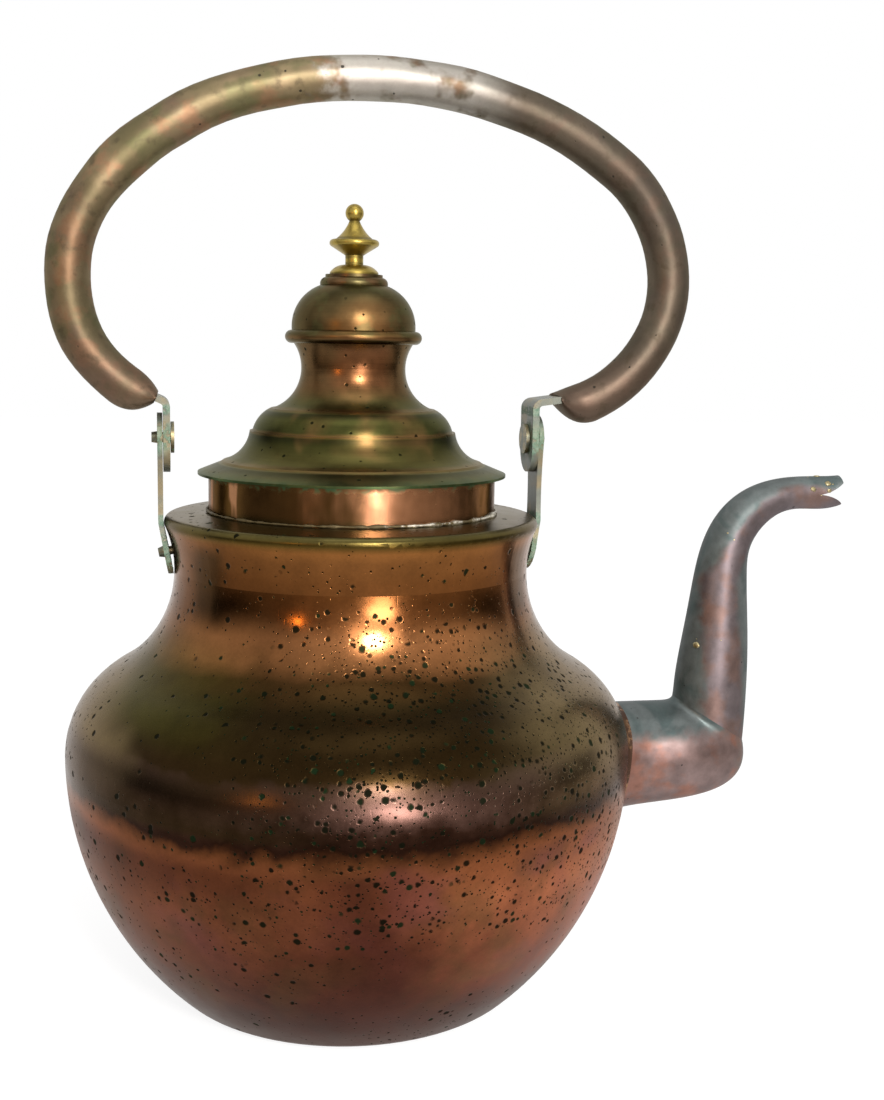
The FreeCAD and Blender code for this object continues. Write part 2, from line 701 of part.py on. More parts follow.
def tang_outline():
    """Outline of the tongue seen along X: straight sides and a round lower end."""
    low = PIVOT_HEIGHT - TANG_DROP
    high = PIVOT_HEIGHT + 2 * BAIL_RISE
    start = -2 * STRAP_FACE

    def at(y, z):
        return Vector(start, y, z)

    half = TANG_HALF_WIDTH
    outline = Part.Face(Part.Wire([
        arc(at(half, low + half), at(0, low), at(-half, low + half)),
        line(at(-half, low + half), at(-half, high)),
        line(at(-half, high), at(half, high)),
        line(at(half, high), at(half, low + half)),
    ]))
    return outline.extrude(Vector(4 * STRAP_FACE, 0, 0))


# Lid

def brim_height(radius):
    """Underside of the brim, which just clears the collar's outer edge."""
    slope = math.tan(math.radians(BRIM_SLOPE))
    return collar_top() + LID_SEAT_GAP + (COLLAR_RADIUS - radius) * slope


def lid_levels():
    """Heights of the crease, the step, the lip, the waist and the bead."""
    crease = brim_height(CREASE_RADIUS) + LID_WALL + BRIM_CREASE
    step = crease + STEP_RISE
    lip = step + LIP_RISE
    waist = lip + WAIST_RISE
    bead = waist + BEAD_RISE
    return crease, step, lip, waist, bead


def lid_cover():
    """Spun sheet: brim, hollow cone, rounded step, and a flare up to the waist."""
    crease, step, lip, waist, bead = lid_levels()
    brim = flat(BRIM_RADIUS, brim_height(BRIM_RADIUS) + LID_WALL)
    brim_end = flat(CREASE_RADIUS, crease - BRIM_CREASE)
    cone_start = flat(CREASE_RADIUS - STEP_LEDGE, crease)
    cone_end = flat(STEP_RADIUS, step)
    cone_hollow = blend(cone_start, cone_end, 0.5) - flat(1, 1).normalize() * CONE_HOLLOW
    round_start = flat(STEP_RADIUS - STEP_LEDGE, step)
    round_end = flat(LIP_RADIUS + STEP_LEDGE, lip)
    round_bulge = blend(round_start, round_end, 0.5) + flat(1, 1).normalize() * STEP_BULGE
    lip_edge = flat(LIP_RADIUS, lip)
    throat = flat(WAIST_RADIUS, waist)
    flare_centre, flare_arc = deep_arc(lip_edge, 0, throat)
    top = flat(DOME_RADIUS - LID_WALL, bead - BEAD_RADIUS)
    upper_centre, upper_arc = deep_arc(top, 0, throat)
    outer = [
        line(brim, brim_end),
        line(brim_end, cone_start),
        arc(cone_start, cone_hollow, cone_end),
        line(cone_end, round_start),
        arc(round_start, round_bulge, round_end),
        line(round_end, lip_edge),
        arc_about(flare_centre, flare_arc, direction(flare_centre, lip_edge), -math.pi),
        arc_about(upper_centre, upper_arc, math.pi, direction(upper_centre, top)),
    ]
    return turned(lid_sheet(outer, throat, top))


def lid_sheet(outer, throat, top):
    """Face between the outer edges and the same edges moved in and down by the wall."""
    shift = flat(-LID_WALL, -LID_WALL)
    inner = []
    for edge in reversed(outer[1:-1]):
        copy = edge.copy()
        copy.translate(shift)
        inner.append(copy.reversed())
    under_brim = line(flat(CREASE_RADIUS - LID_WALL, brim_height(CREASE_RADIUS - LID_WALL)),
                      flat(BRIM_RADIUS, brim_height(BRIM_RADIUS)))
    inside_top = flat(throat.x - LID_WALL, top.z)
    return joined(outer + [line(top, inside_top)] + inner + [under_brim])


def lid_flange():
    """Ring under the brim; its top follows the brim's slope."""
    outer = COLLAR_BORE - LID_FIT
    inner = outer - LID_WALL
    low = brim_height(outer) - FLANGE_DEPTH
    return turned(polygon(flat(outer, low), flat(outer, brim_height(outer) - SEAM_GAP),
                          flat(inner, brim_height(inner) - SEAM_GAP), flat(inner, low)))


def dome_top():
    """Height where the dome meets the boss, and the dome's centre."""
    bead = lid_levels()[4]
    centre = flat(DOME_RADIUS - DOME_ARC, bead + BEAD_RADIUS + DOME_SIDE)
    rise = math.sqrt(DOME_ARC ** 2 - (BOSS_RADIUS - centre.x) ** 2)
    return centre, centre.z + rise


def boss_top():
    return dome_top()[1] + BOSS_HEIGHT


def lid_dome():
    """Domed sheet with a rolled bead below and a rounded boss with a lip for the finial above."""
    bead = lid_levels()[4]
    centre, shoulder = dome_top()
    bead_centre = flat(DOME_RADIUS, bead)
    boss_foot = flat(BOSS_RADIUS, shoulder)
    lip_foot = flat(BOSS_LIP_RADIUS, boss_top() - BOSS_LIP)
    lip_edge = flat(BOSS_LIP_RADIUS, boss_top())
    boss_side = blend(boss_foot, lip_foot, 0.5) + flat(1, 1).normalize() * BOSS_BULGE
    outer = [
        arc_about(bead_centre, BEAD_RADIUS, -math.pi / 2, math.pi / 2),
        arc_about(centre, DOME_ARC, 0, direction(centre, boss_foot)),
        arc(boss_foot, boss_side, lip_foot),
        line(lip_foot, lip_edge),
        line(lip_edge, flat(SHANK_RADIUS + RIVET_FIT, boss_top())),
    ]
    inner_arc = DOME_ARC - LID_WALL
    inner_boss = BOSS_LIP_RADIUS - LID_WALL
    inner_rise = math.sqrt(inner_arc ** 2 - (inner_boss - centre.x) ** 2)
    inner = [
        line(flat(SHANK_RADIUS + RIVET_FIT, boss_top() - LID_WALL), flat(inner_boss, boss_top() - LID_WALL)),
        line(flat(inner_boss, boss_top() - LID_WALL), flat(inner_boss, centre.z + inner_rise)),
        arc_about(centre, inner_arc, direction(centre, flat(inner_boss, centre.z + inner_rise)), 0),
        line(flat(DOME_RADIUS - LID_WALL, centre.z), flat(DOME_RADIUS - LID_WALL, bead - BEAD_RADIUS)),
    ]
    return turned(joined(outer + inner))


def shank_edges(foot):
    """Edges of the finial's shank, clenched inside the dome, from the axis to the foot's underside."""
    under = foot - LID_WALL - ROVE_THICKNESS
    clench = under - CLENCH_HEIGHT
    return [
        line(flat(0, clench), flat(SHANK_RADIUS, clench)),
        line(flat(SHANK_RADIUS, clench), flat(CLENCH_RADIUS, under)),
        line(flat(CLENCH_RADIUS, under), flat(SHANK_RADIUS, under)),
        line(flat(SHANK_RADIUS, under), flat(SHANK_RADIUS, foot)),
    ]


def finial():
    """Turned knob: domed foot, stem, a disc with a rounded edge, an ogee and a ball, on its shank."""
    foot = boss_top()

    def at(radius, height):
        return flat(radius, foot + height)

    foot_edge = at(FINIAL_FOOT_RADIUS, FINIAL_FOOT_EDGE)
    stem_low = at(FINIAL_STEM_RADIUS, FINIAL_FOOT_HEIGHT)
    stem_high = at(FINIAL_STEM_RADIUS, FINIAL_STEM_HEIGHT)
    foot_crown = blend(foot_edge, stem_low, 0.5) + flat(1, 2).normalize() * FINIAL_FOOT_BULGE
    roll = at(FINIAL_DISC_RADIUS - FINIAL_DISC_ROLL, FINIAL_DISC_HEIGHT)
    cone = direction(stem_high, roll)
    reach = stem_high.distanceToPoint(roll)
    roll_low = cone - math.pi / 2 - math.asin(FINIAL_DISC_ROLL / reach)
    roll_high = math.radians(115)
    throat = at(FINIAL_THROAT_RADIUS, FINIAL_THROAT_HEIGHT)
    disc_top = roll + flat(math.cos(roll_high), math.sin(roll_high)) * FINIAL_DISC_ROLL
    ogee = blend(disc_top, throat, 0.5) - flat(1, 1).normalize() * FINIAL_OGEE
    ball = at(0, FINIAL_THROAT_HEIGHT + math.sqrt(FINIAL_BALL_RADIUS ** 2 - FINIAL_THROAT_RADIUS ** 2))
    edges = shank_edges(foot) + [
        line(flat(SHANK_RADIUS, foot), at(FINIAL_FOOT_RADIUS, 0)),
        line(at(FINIAL_FOOT_RADIUS, 0), foot_edge),
        arc(foot_edge, foot_crown, stem_low),
        line(stem_low, stem_high),
        arc_about(roll, FINIAL_DISC_ROLL, roll_low, roll_high),
        arc(disc_top, ogee, throat),
        arc_about(ball, FINIAL_BALL_RADIUS, direction(ball, throat), math.pi / 2),
    ]
    return turned(joined(edges))


def finial_rove():
    top = boss_top() - LID_WALL
    return tube(FINIAL_ROVE_RADIUS, SHANK_RADIUS + RIVET_FIT, top - ROVE_THICKNESS, top)


def pair(piece):
    """The same piece on both sides, as one group."""
    return Part.makeCompound([mirrored(piece), piece])


def main():
    os.makedirs("parts", exist_ok=True)
    pieces = {
        "body_shell": body_shell(),
        "mouth_collar": mouth_collar(),
        "collar_solder": collar_solder(),
        "spout_elbow": spout_elbow(),
        "spout_neck": spout_neck(),
        "spout_solder": spout_solder(),
        "strap_left": mirrored(strap()),
        "strap_right": strap(),
        "strap_rivets": pair(strap_rivet()),
        "strap_roves": pair(strap_rove()),
        "pivot_rivet_left": mirrored(pivot_rivet()),
        "pivot_rivet_right": pivot_rivet(),
        "bail_tube": bail_tube(),
        "bail_tang_left": bail_tang(-1),
        "bail_tang_right": bail_tang(1),
        "lid_cover": lid_cover(),
        "lid_dome": lid_dome(),
        "lid_flange": lid_flange(),
        "finial": finial(),
        "finial_rove": finial_rove(),
    }
    for name, shape in pieces.items():
        shape.exportStep("parts/" + name + ".step")
        print(name, len(shape.Solids), round(shape.Volume, 1), shape.isValid())


main()
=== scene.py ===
"""Looks of the copper coffee pot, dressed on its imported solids."""

import logging
import math
from collections.abc import Callable
from dataclasses import dataclass
from enum import Enum

import bmesh
import bpy
from bpy.types import ColorRamp, Material, Mesh, Node, NodeSocket, NodeTree, Object
from mathutils import Matrix, Vector, noise

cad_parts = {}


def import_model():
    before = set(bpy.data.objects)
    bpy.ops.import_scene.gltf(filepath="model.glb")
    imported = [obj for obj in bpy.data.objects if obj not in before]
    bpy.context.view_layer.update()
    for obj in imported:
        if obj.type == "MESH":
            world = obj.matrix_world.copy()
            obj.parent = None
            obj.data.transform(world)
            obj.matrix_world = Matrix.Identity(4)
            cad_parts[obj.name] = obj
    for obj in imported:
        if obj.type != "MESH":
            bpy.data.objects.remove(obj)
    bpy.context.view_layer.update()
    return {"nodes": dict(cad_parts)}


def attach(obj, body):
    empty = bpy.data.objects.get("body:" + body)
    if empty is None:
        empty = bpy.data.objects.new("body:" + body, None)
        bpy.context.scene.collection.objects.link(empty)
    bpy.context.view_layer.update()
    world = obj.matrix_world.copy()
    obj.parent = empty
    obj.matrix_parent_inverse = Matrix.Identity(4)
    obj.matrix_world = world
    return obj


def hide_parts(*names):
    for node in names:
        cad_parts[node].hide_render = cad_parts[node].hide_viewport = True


LOG = logging.getLogger("coffee_pot")
Colour = tuple[float, float, float]
Point = tuple[float, float, float]
Stops = tuple[tuple[float, Colour], ...]
MM = 0.001
MERGE_DISTANCE = 2e-6
WHITE: Colour = (1.0, 1.0, 1.0)
BLACK: Colour = (0.0, 0.0, 0.0)


def _operator(operation: str, swapped: bool = False) -> Callable[["Wire", "Wire | float"], "Wire"]:
    """Make a method that joins a Wire and a value by a Math node.

    Args:
        operation: the Math node's operation.
        swapped: whether the Wire stands on the right.

    Returns:
        The method.
    """
    def operator(wire: "Wire", other: "Wire | float") -> "Wire":
        """Add the Math node."""
        return wire.math(operation, *((other, wire) if swapped else (wire, other)))

    return operator


class Wire:
    """Output socket that adds Math nodes where it is used in an expression."""

    def __init__(self, book: "Book", socket: NodeSocket) -> None:
        """Keep the socket and the book that its node is written in."""
        self.book = book
        self.socket = socket

    def math(self, operation: str, *values: "Wire | float") -> "Wire":
        """Add one Math node and take its result."""
        made = self.book.node("ShaderNodeMath", dict(enumerate(values)), operation=operation)
        return Wire(self.book, made.outputs[0])

    __add__ = _operator("ADD")
    __radd__ = _operator("ADD", swapped=True)
    __sub__ = _operator("SUBTRACT")
    __rsub__ = _operator("SUBTRACT", swapped=True)
    __mul__ = _operator("MULTIPLY")
    __rmul__ = _operator("MULTIPLY", swapped=True)
    __truediv__ = _operator("DIVIDE")
    __rtruediv__ = _operator("DIVIDE", swapped=True)
    __pow__ = _operator("POWER")
    most = _operator("MAXIMUM")
    least = _operator("MINIMUM")

    def __abs__(self) -> "Wire":
        """Size without its sign."""
        return self.math("ABSOLUTE", self)

    def root(self) -> "Wire":
        """Square root."""
        return self.math("SQRT", self)

    def between(self, low: float, high: float) -> "Wire":
        """Ease from 0 at the first value to 1 at the second, which may be the lower one."""
        made = self.book.node(
            "ShaderNodeMapRange", {"Value": self, "From Min": low, "From Max": high},
            interpolation_type="SMOOTHSTEP")
        return Wire(self.book, made.outputs[0])

    def window(self, low: float, rise: float, fall: float, high: float) -> "Wire":
        """1 from rise to fall, eased to 0 at low and at high."""
        return self.between(low, rise) * self.between(high, fall)

    def swing(self, width: float) -> "Wire":
        """Value about 0, made from a random one about 0.5."""
        return (self - 0.5) * width


class Book:
    """A node tree being written."""

    def __init__(self, tree: NodeTree) -> None:
        """Start with the tree as it is."""
        self.tree = tree

    def node(self, kind: str, sockets: dict | None = None, **settings: object) -> Node:
        """Add one node.

        Args:
            kind: the node's type.
            sockets: a value or a Wire for each input, by name or number.
            settings: what is set on the node itself, before its sockets; stops are a ramp's colours.

        Returns:
            The node.
        """
        made = self.tree.nodes.new(kind)
        for name, value in settings.items():
            if name == "stops":
                self._fill_ramp(made.color_ramp, value)
            else:
                setattr(made, name, value)
        for key, value in (sockets or {}).items():
            self.feed(made.inputs[key], value)
        return made

    def feed(self, socket: NodeSocket, value: "Wire | float | Colour") -> None:
        """Link a Wire to a socket, or set the socket's value.

        Args:
            socket: the input.
            value: a Wire, a number or a colour.
        """
        if isinstance(value, Wire):
            self.tree.links.new(value.socket, socket)
        elif socket.type == "RGBA":
            socket.default_value = (*value, 1.0)
        else:
            socket.default_value = value

    @staticmethod
    def _fill_ramp(ramp: ColorRamp, stops: Stops) -> None:
        """Give a ramp its colours.

        Args:
            ramp: a new ramp, with Blender's two stops.
            stops: places from 0 to 1 with their colours.
        """
        while len(ramp.elements) < len(stops):
            ramp.elements.new(0.5)
        for element, (place, colour) in zip(ramp.elements, stops):
            element.position = place
            element.color = (*colour, 1.0)

    def out(self, made: Node, key: str | int = 0) -> Wire:
        """Take one output of a node."""
        return Wire(self, made.outputs[key])

    def stretched(self, vector: Wire, amount: "Wire | float") -> Wire:
        """Multiply a vector or a colour by a value."""
        made = self.node("ShaderNodeVectorMath", {0: vector, "Scale": amount}, operation="SCALE")
        return self.out(made)


class Paint(Book):
    """Material of one finish; lengths are in millimetres of Object coordinates."""

    def __init__(self, name: str) -> None:
        """Make the material with its shader and the coordinates.

        Args:
            name: the material's name.
        """
        self.material = bpy.data.materials.new(name)
        self.material.use_nodes = True
        super().__init__(self.material.node_tree)
        self.tree.nodes.clear()
        self.shader = self.node("ShaderNodeBsdfPrincipled")
        self.node("ShaderNodeOutputMaterial", {"Surface": self.out(self.shader)})
        place = self.out(self.node("ShaderNodeTexCoord"), "Object")
        self.point = self.stretched(place, 1 / MM)
        apart = self.node("ShaderNodeSeparateXYZ", {0: self.point})
        self.x, self.y, self.z = (self.out(apart, axis) for axis in range(3))

    def mixed(self, share: "Wire | float", first: "Wire | Colour", second: "Wire | Colour") -> Wire:
        """Mix two colours by the share of the second that shows."""
        made = self.node("ShaderNodeMix", {0: share, 6: first, 7: second}, data_type="RGBA")
        return self.out(made, 2)

    def ramp(self, value: Wire, stops: Stops) -> Wire:
        """Colour by a value.

        Args:
            value: what the colour follows.
            stops: values with their colours.

        Returns:
            The colour.
        """
        low, high = stops[0][0], stops[-1][0]
        places = tuple(((place - low) / (high - low), colour) for place, colour in stops)
        made = self.node("ShaderNodeValToRGB", {0: (value - low) / (high - low)}, stops=places)
        return self.out(made)

    def spread(self, size: float, stretch: Point, seed: float) -> Wire:
        """Coordinates that make features of a size in millimetres one unit wide, shifted by a seed."""
        made = self.node("ShaderNodeMapping", {
            "Vector": self.point, "Location": (seed * 7.3, seed * 3.1, seed * 5.7),
            "Scale": tuple(1 / (size * share) for share in stretch)})
        return self.out(made)

    def cloud(self, size: float, detail: float = 3.0, seed: float = 0.0,
              stretch: Point = (1.0, 1.0, 1.0), warp: float = 0.0) -> Wire:
        """Soft random value about 0.5.

        Args:
            size: millimetres of its largest features.
            detail: octaves of finer features.
            seed: shifts the pattern.
            stretch: how much longer the features are along each axis.
            warp: how far the features are drawn out of shape.

        Returns:
            The value.
        """
        made = self.node("ShaderNodeTexNoise", {
            "Vector": self.spread(size, stretch, seed), "Scale": 1.0, "Detail": detail,
            "Roughness": 0.55, "Distortion": warp})
        return self.out(made)

    def pits(self, spacing: float, smallest: float, largest: float, share: "Wire | float",
             seed: float = 0.0) -> tuple[Wire, Wire]:
        """Scattered ragged pits.

        Args:
            spacing: millimetres between their places.
            smallest: radius of the smallest.
            largest: radius of the largest.
            share: part of the places that has a pit.
            seed: shifts the pattern.

        Returns:
            1 inside a pit, and a random value for each pit.
        """
        rag = self.node("ShaderNodeTexNoise", {
            "Vector": self.spread(largest * 1.6, (1, 1, 1), seed), "Scale": 1.0, "Detail": 2.0})
        places = self.spread(spacing, (1, 1, 1), seed)
        ragged = self.node("ShaderNodeMix", {
            0: 0.5 * largest / spacing, 4: places, 5: self.out(rag, 1)}, data_type="VECTOR")
        cells = self.node("ShaderNodeTexVoronoi", {
            "Vector": self.out(ragged, 1), "Scale": 1.0, "Randomness": 1.0}, feature="F1")
        chance = self.node("ShaderNodeSeparateColor", {0: self.out(cells, "Color")})
        radius = smallest + (largest - smallest) * self.out(chance, 0) ** 2.5
        inside = (self.out(cells, "Distance") * spacing / radius).between(1, 0.55)
        return inside * (share - self.out(chance, 1)).between(0, 0.02), self.out(chance, 2)

    def finish(self, skin: "Wire | Colour", rough: "Wire | float", height: Wire | None = None,
               **others: "Wire | float | Colour") -> Material:
        """Set the shader's sockets.

        Args:
            skin: base colour.
            rough: roughness.
            height: relief, in millimetres.
            others: other sockets, named with _ for a space.

        Returns:
            The finished material.
        """
        sockets = {"Base_Color": skin, "Roughness": rough, **others}
        if height is not None:
            bump = self.node("ShaderNodeBump", {"Height": height, "Distance": MM, "Strength": 1.0})
            sockets["Normal"] = self.out(bump)
        for name, value in sockets.items():
            self.feed(self.shader.inputs[name.replace("_", " ")], value)
        return self.material


class Recipe(Book):
    """Geometry Nodes tree with named sizes, made into plain meshes."""

    def __init__(self, name: str, sizes: tuple[str, ...]) -> None:
        """Make the tree and its inputs.

        Args:
            name: the tree's name.
            sizes: names of its inputs, besides Seed.
        """
        tree = bpy.data.node_groups.new(name, "GeometryNodeTree")
        super().__init__(tree)
        tree.interface.new_socket("Geometry", in_out="INPUT", socket_type="NodeSocketGeometry")
        tree.interface.new_socket("Geometry", in_out="OUTPUT", socket_type="NodeSocketGeometry")
        self.keys = {}
        for size in (*sizes, "Seed"):
            kind = "NodeSocketInt" if size == "Seed" else "NodeSocketFloat"
            made = tree.interface.new_socket(size, in_out="INPUT", socket_type=kind)
            self.keys[size] = made.identifier
        self.entry = self.node("NodeGroupInput")

    def size(self, name: str) -> Wire:
        """Take one of the tree's inputs."""
        return self.out(self.entry, name)

    def close(self, shape: Wire, material: Material) -> None:
        """End the tree.

        Args:
            shape: what it has made.
            material: what that is made of.
        """
        whole = self.out(self.node("GeometryNodeRealizeInstances", {0: shape}))
        smooth = self.out(self.node("GeometryNodeSetShadeSmooth", {"Geometry": whole}))
        dressed = self.node("GeometryNodeSetMaterial", {"Geometry": smooth, "Material": material})
        self.node("NodeGroupOutput", {0: self.out(dressed)})

    def make(self, name: str, base: Mesh, values: dict[str, float]) -> Object:
        """Run the tree on a mesh.

        Args:
            name: the piece's name.
            base: mesh that the tree starts from.
            values: its sizes.

        Returns:
            A piece with a plain mesh.
        """
        holder = bpy.data.objects.new(name + "_base", base)
        bpy.context.scene.collection.objects.link(holder)
        modifier = holder.modifiers.new("recipe", "NODES")
        modifier.node_group = self.tree
        for size, value in values.items():
            modifier[self.keys[size]] = value
        ready = holder.evaluated_get(bpy.context.evaluated_depsgraph_get())
        mesh = bpy.data.meshes.new_from_object(ready)
        holder.modifiers.clear()
        bpy.data.objects.remove(holder)
        mesh.name = name
        return add_piece(name, mesh)


def add_piece(name: str, mesh: Mesh) -> Object:
    """Put a mesh in the scene.

    Args:
        name: the piece's name.
        mesh: its shape.

    Returns:
        The piece, at the origin.
    """
    piece = bpy.data.objects.new(name, mesh)
    bpy.context.scene.collection.objects.link(piece)
    return piece


def merged_copy(node: Object, name: str) -> Mesh:
    """Copy a solid's mesh with its loose triangles joined.

    Args:
        node: the solid.
        name: the copy's name.

    Returns:
        The copy.
    """
    work = bmesh.new()
    work.from_mesh(node.data)
    bmesh.ops.remove_doubles(work, verts=work.verts, dist=MERGE_DISTANCE)
    mesh = bpy.data.meshes.new(name)
    work.to_mesh(mesh)
    work.free()
    return mesh


def patch(node: Object, name: str, middle: Vector, reach: float) -> Mesh:
    """Copy the part of a solid's skin that is near a point.

    Args:
        node: the solid.
        name: the patch's name.
        middle: the point.
        reach: how far from it the patch goes.

    Returns:
        The patch.
    """
    mesh = merged_copy(node, name)
    work = bmesh.new()
    work.from_mesh(mesh)
    far = [face for face in work.faces if (face.calc_center_median() - middle).length > reach]
    bmesh.ops.delete(work, geom=far, context="FACES")
    work.to_mesh(mesh)
    work.free()
    return mesh


def dress(node: Object, material: Material) -> None:
    """Give a solid its finish.

    Args:
        node: the solid.
        material: the finish.
    """
    node.data.materials.clear()
    node.data.materials.append(material)
    LOG.info("dressed %s with %s", node.name, material.name)


def at(x: float, y: float, z: float) -> Vector:
    """Point from millimetres."""
    return Vector((x, y, z)) * MM


@dataclass(frozen=True)
class BellyCopper:
    """Raised copper of the body: warm below, darkened over the belly partly by tarnish and partly by a
    painted reflection of a dark room, bare on the neck.
    """

    name: str = "belly_copper"
    # The bands are partly the copper's tarnish and partly painted light: the dark band from 94.5 to 148
    # mm is a painted reflection of a dark room, the pink at 108 mm a painted sheen round the belly's
    # highlight, and the bright copper at 162 mm a painted glow below the neck's highlight.
    bands: Stops = (
        (0, (0.022, 0.005, 0.004)), (16, (0.044, 0.01, 0.007)), (40, (0.13, 0.038, 0.018)),
        (70, (0.205, 0.066, 0.028)), (86, (0.215, 0.07, 0.026)), (90.5, (0.1, 0.034, 0.012)),
        (94.5, (0.018, 0.007, 0.004)), (100, (0.034, 0.015, 0.009)), (108, (0.135, 0.076, 0.06)),
        (119, (0.022, 0.012, 0.004)), (140, (0.02, 0.012, 0.004)), (148, (0.045, 0.022, 0.007)),
        (154, (0.21, 0.086, 0.03)), (162, (0.31, 0.124, 0.044)), (178, (0.19, 0.074, 0.022)),
        (192, (0.2, 0.078, 0.022)), (196, (0.23, 0.09, 0.024)), (199, (0.072, 0.048, 0.01)),
        (204, (0.1, 0.09, 0.034)))
    olive: Colour = (0.046, 0.042, 0.006)
    # Painted golden sheen on the belly's flanks.
    painted_sheen: Colour = (0.175, 0.125, 0.056)
    rose: Colour = (0.205, 0.062, 0.058)
    # Darker front middle of the lower belly, and painted dark reflection low on the left.
    umber: Colour = (0.046, 0.011, 0.007)
    # Painted dark reflection strips down the sides of the neck.
    brown: Colour = (0.05, 0.028, 0.008)
    # Painted dark reflection on the left of the belly's dark band.
    painted_dark_left: Colour = (0.026, 0.015, 0.006)
    patina: Colour = (0.095, 0.044, 0.016)
    pit: Colour = (0.005, 0.006, 0.003)
    verdigris: Colour = (0.007, 0.018, 0.007)
    edge: Colour = (0.86, 0.8, 0.76)

    def tints(self, p: Paint, skin: Wire, drift: Wire) -> Wire:
        """Lay the colour that differs round the body over its bands: olive tarnish, patina and blush
        below, a darker front middle and a lighter lower right, painted sheen, painted shade and painted
        dark reflections.

        Args:
            p: the material being mixed.
            skin: colour of the bands.
            drift: slow random value.

        Returns:
            The tinted colour.
        """
        sway = drift.swing(50)
        across = p.x + sway
        upper = p.z.window(122, 138, 152, 172)
        skin = p.mixed(upper * across.between(-40, -84) * 0.85, skin, self.olive)
        # Painted sheen: golden light on both flanks of the belly's dark band.
        painted_sheen_flanks = (across.between(-78, -100) * 0.85).most(across.between(30, 78))
        skin = p.mixed(painted_sheen_flanks * p.z.window(98, 116, 158, 170) * 0.8, skin, self.painted_sheen)
        # Painted dark reflection: vertical strips down both sides of the neck.
        painted_dark_strips = abs(abs(p.x) - 62.0 + sway * 0.1).between(8, 2) * p.z.window(160, 172, 190, 198)
        skin = p.mixed(painted_dark_strips * 0.75, skin, self.brown)
        # Painted dark reflection, deeper on the left of the belly's dark band.
        painted_dark_left = across.between(-20, -62) * p.z.window(97, 101, 114, 124)
        skin = p.mixed(painted_dark_left * 0.85, skin, self.painted_dark_left)
        lower = p.z.between(94, 84)
        patina = p.cloud(27, 4, 37).between(0.47, 0.64) * p.z.between(12, 34)
        skin = p.mixed(patina * lower * 0.55, skin, self.patina)
        blush = p.cloud(38, 3, 11).between(0.46, 0.68) * p.z.between(28, 60)
        skin = p.mixed(blush * lower * 0.45, skin, self.rose)
        # Darker down the front middle of the lower belly.
        front_middle_dark = (abs(p.x + 8.0 + sway * 1.2) + (p.z - 20.0) * 0.15).between(56, 6)
        skin = p.mixed(front_middle_dark * lower * p.y.between(40, -40) * 0.8, skin, self.umber)
        # Painted dark reflection reaching lower on the left of the lower belly.
        painted_low_left_dark = across.between(-20, -75) * p.z.between(62, 82) * lower
        skin = p.mixed(painted_low_left_dark * 0.6, skin, self.umber)
        # Lighter towards the lower right of the belly.
        lower_right_light = across.between(15, 60) * lower * p.z.window(14, 40, 70, 92)
        # Painted shade on the left of the lower belly and neck, and painted dark reflection on the sides
        # of the neck's foot.
        shaded = across.between(-5, -60) * lower.most(p.z.window(158, 170, 196, 198))
        painted_neck_foot_dark = abs(p.x - 6.0 + sway * 0.3).between(18, 48) * p.z.window(152, 160, 170, 182)
        return p.stretched(skin, 1.0 + 0.6 * lower_right_light - 0.32 * shaded - 0.28 * painted_neck_foot_dark)

    def material(self) -> Material:
        """Mix the bands, tints, pits and dents.

        Returns:
            The material.
        """
        p = Paint(self.name)
        drift = p.cloud(55, 2, warp=0.6)
        mottle = p.cloud(8, 4, 3)
        grain = p.cloud(1.1, 2, 5)
        blotch = p.cloud(18, 3, 19)
        # ragged frays the edges of the bands and level bends them round the front, shaping the edges of
        # the painted reflection.
        ragged = drift.swing(12) + (blotch.swing(12) + mottle.swing(9)) * p.z.between(132, 112)
        level = p.z - abs(p.x + 20.0) * 0.06 * p.z.between(150, 120) + ragged * p.z.between(190, 150)
        skin = self.tints(p, p.ramp(level, self.bands), drift)
        skin = p.stretched(skin, 0.6 * drift + 0.58 * blotch + 0.56 * mottle + 0.3 * grain)
        front = p.y.between(-10, -80) * p.x.between(-75, 5) * p.z.window(48, 78, 150, 196)
        share = 0.08 + 0.4 * p.cloud(45, 2, 17).between(0.42, 0.7) + 0.85 * front
        pit, luck = p.pits(2.1, 0.36, 1.25, share, 1)
        speck, _ = p.pits(1.3, 0.22, 0.48, share * 1.2, 23)
        hole = pit.most(speck)
        skin = p.mixed(hole * 0.95, skin, p.mixed(luck.between(0.6, 0.9), self.pit, self.verdigris))
        satin = p.z.between(100, 84).most(p.z.between(196.5, 199))
        rough = 0.1 + 0.08 * p.z.between(165, 145) + 0.12 * satin
        rough = rough + 0.12 * mottle + 0.04 * grain + 0.4 * hole
        waves = p.cloud(34, 1, 29)
        scratch = p.cloud(1.4, 1, 31, (1, 1, 16)).between(0.66, 0.74)
        height = 0.32 * waves + 0.04 * mottle + 0.005 * grain - 0.14 * hole - 0.008 * scratch
        return p.finish(skin, rough, height, Metallic=1.0, Specular_Tint=self.edge)


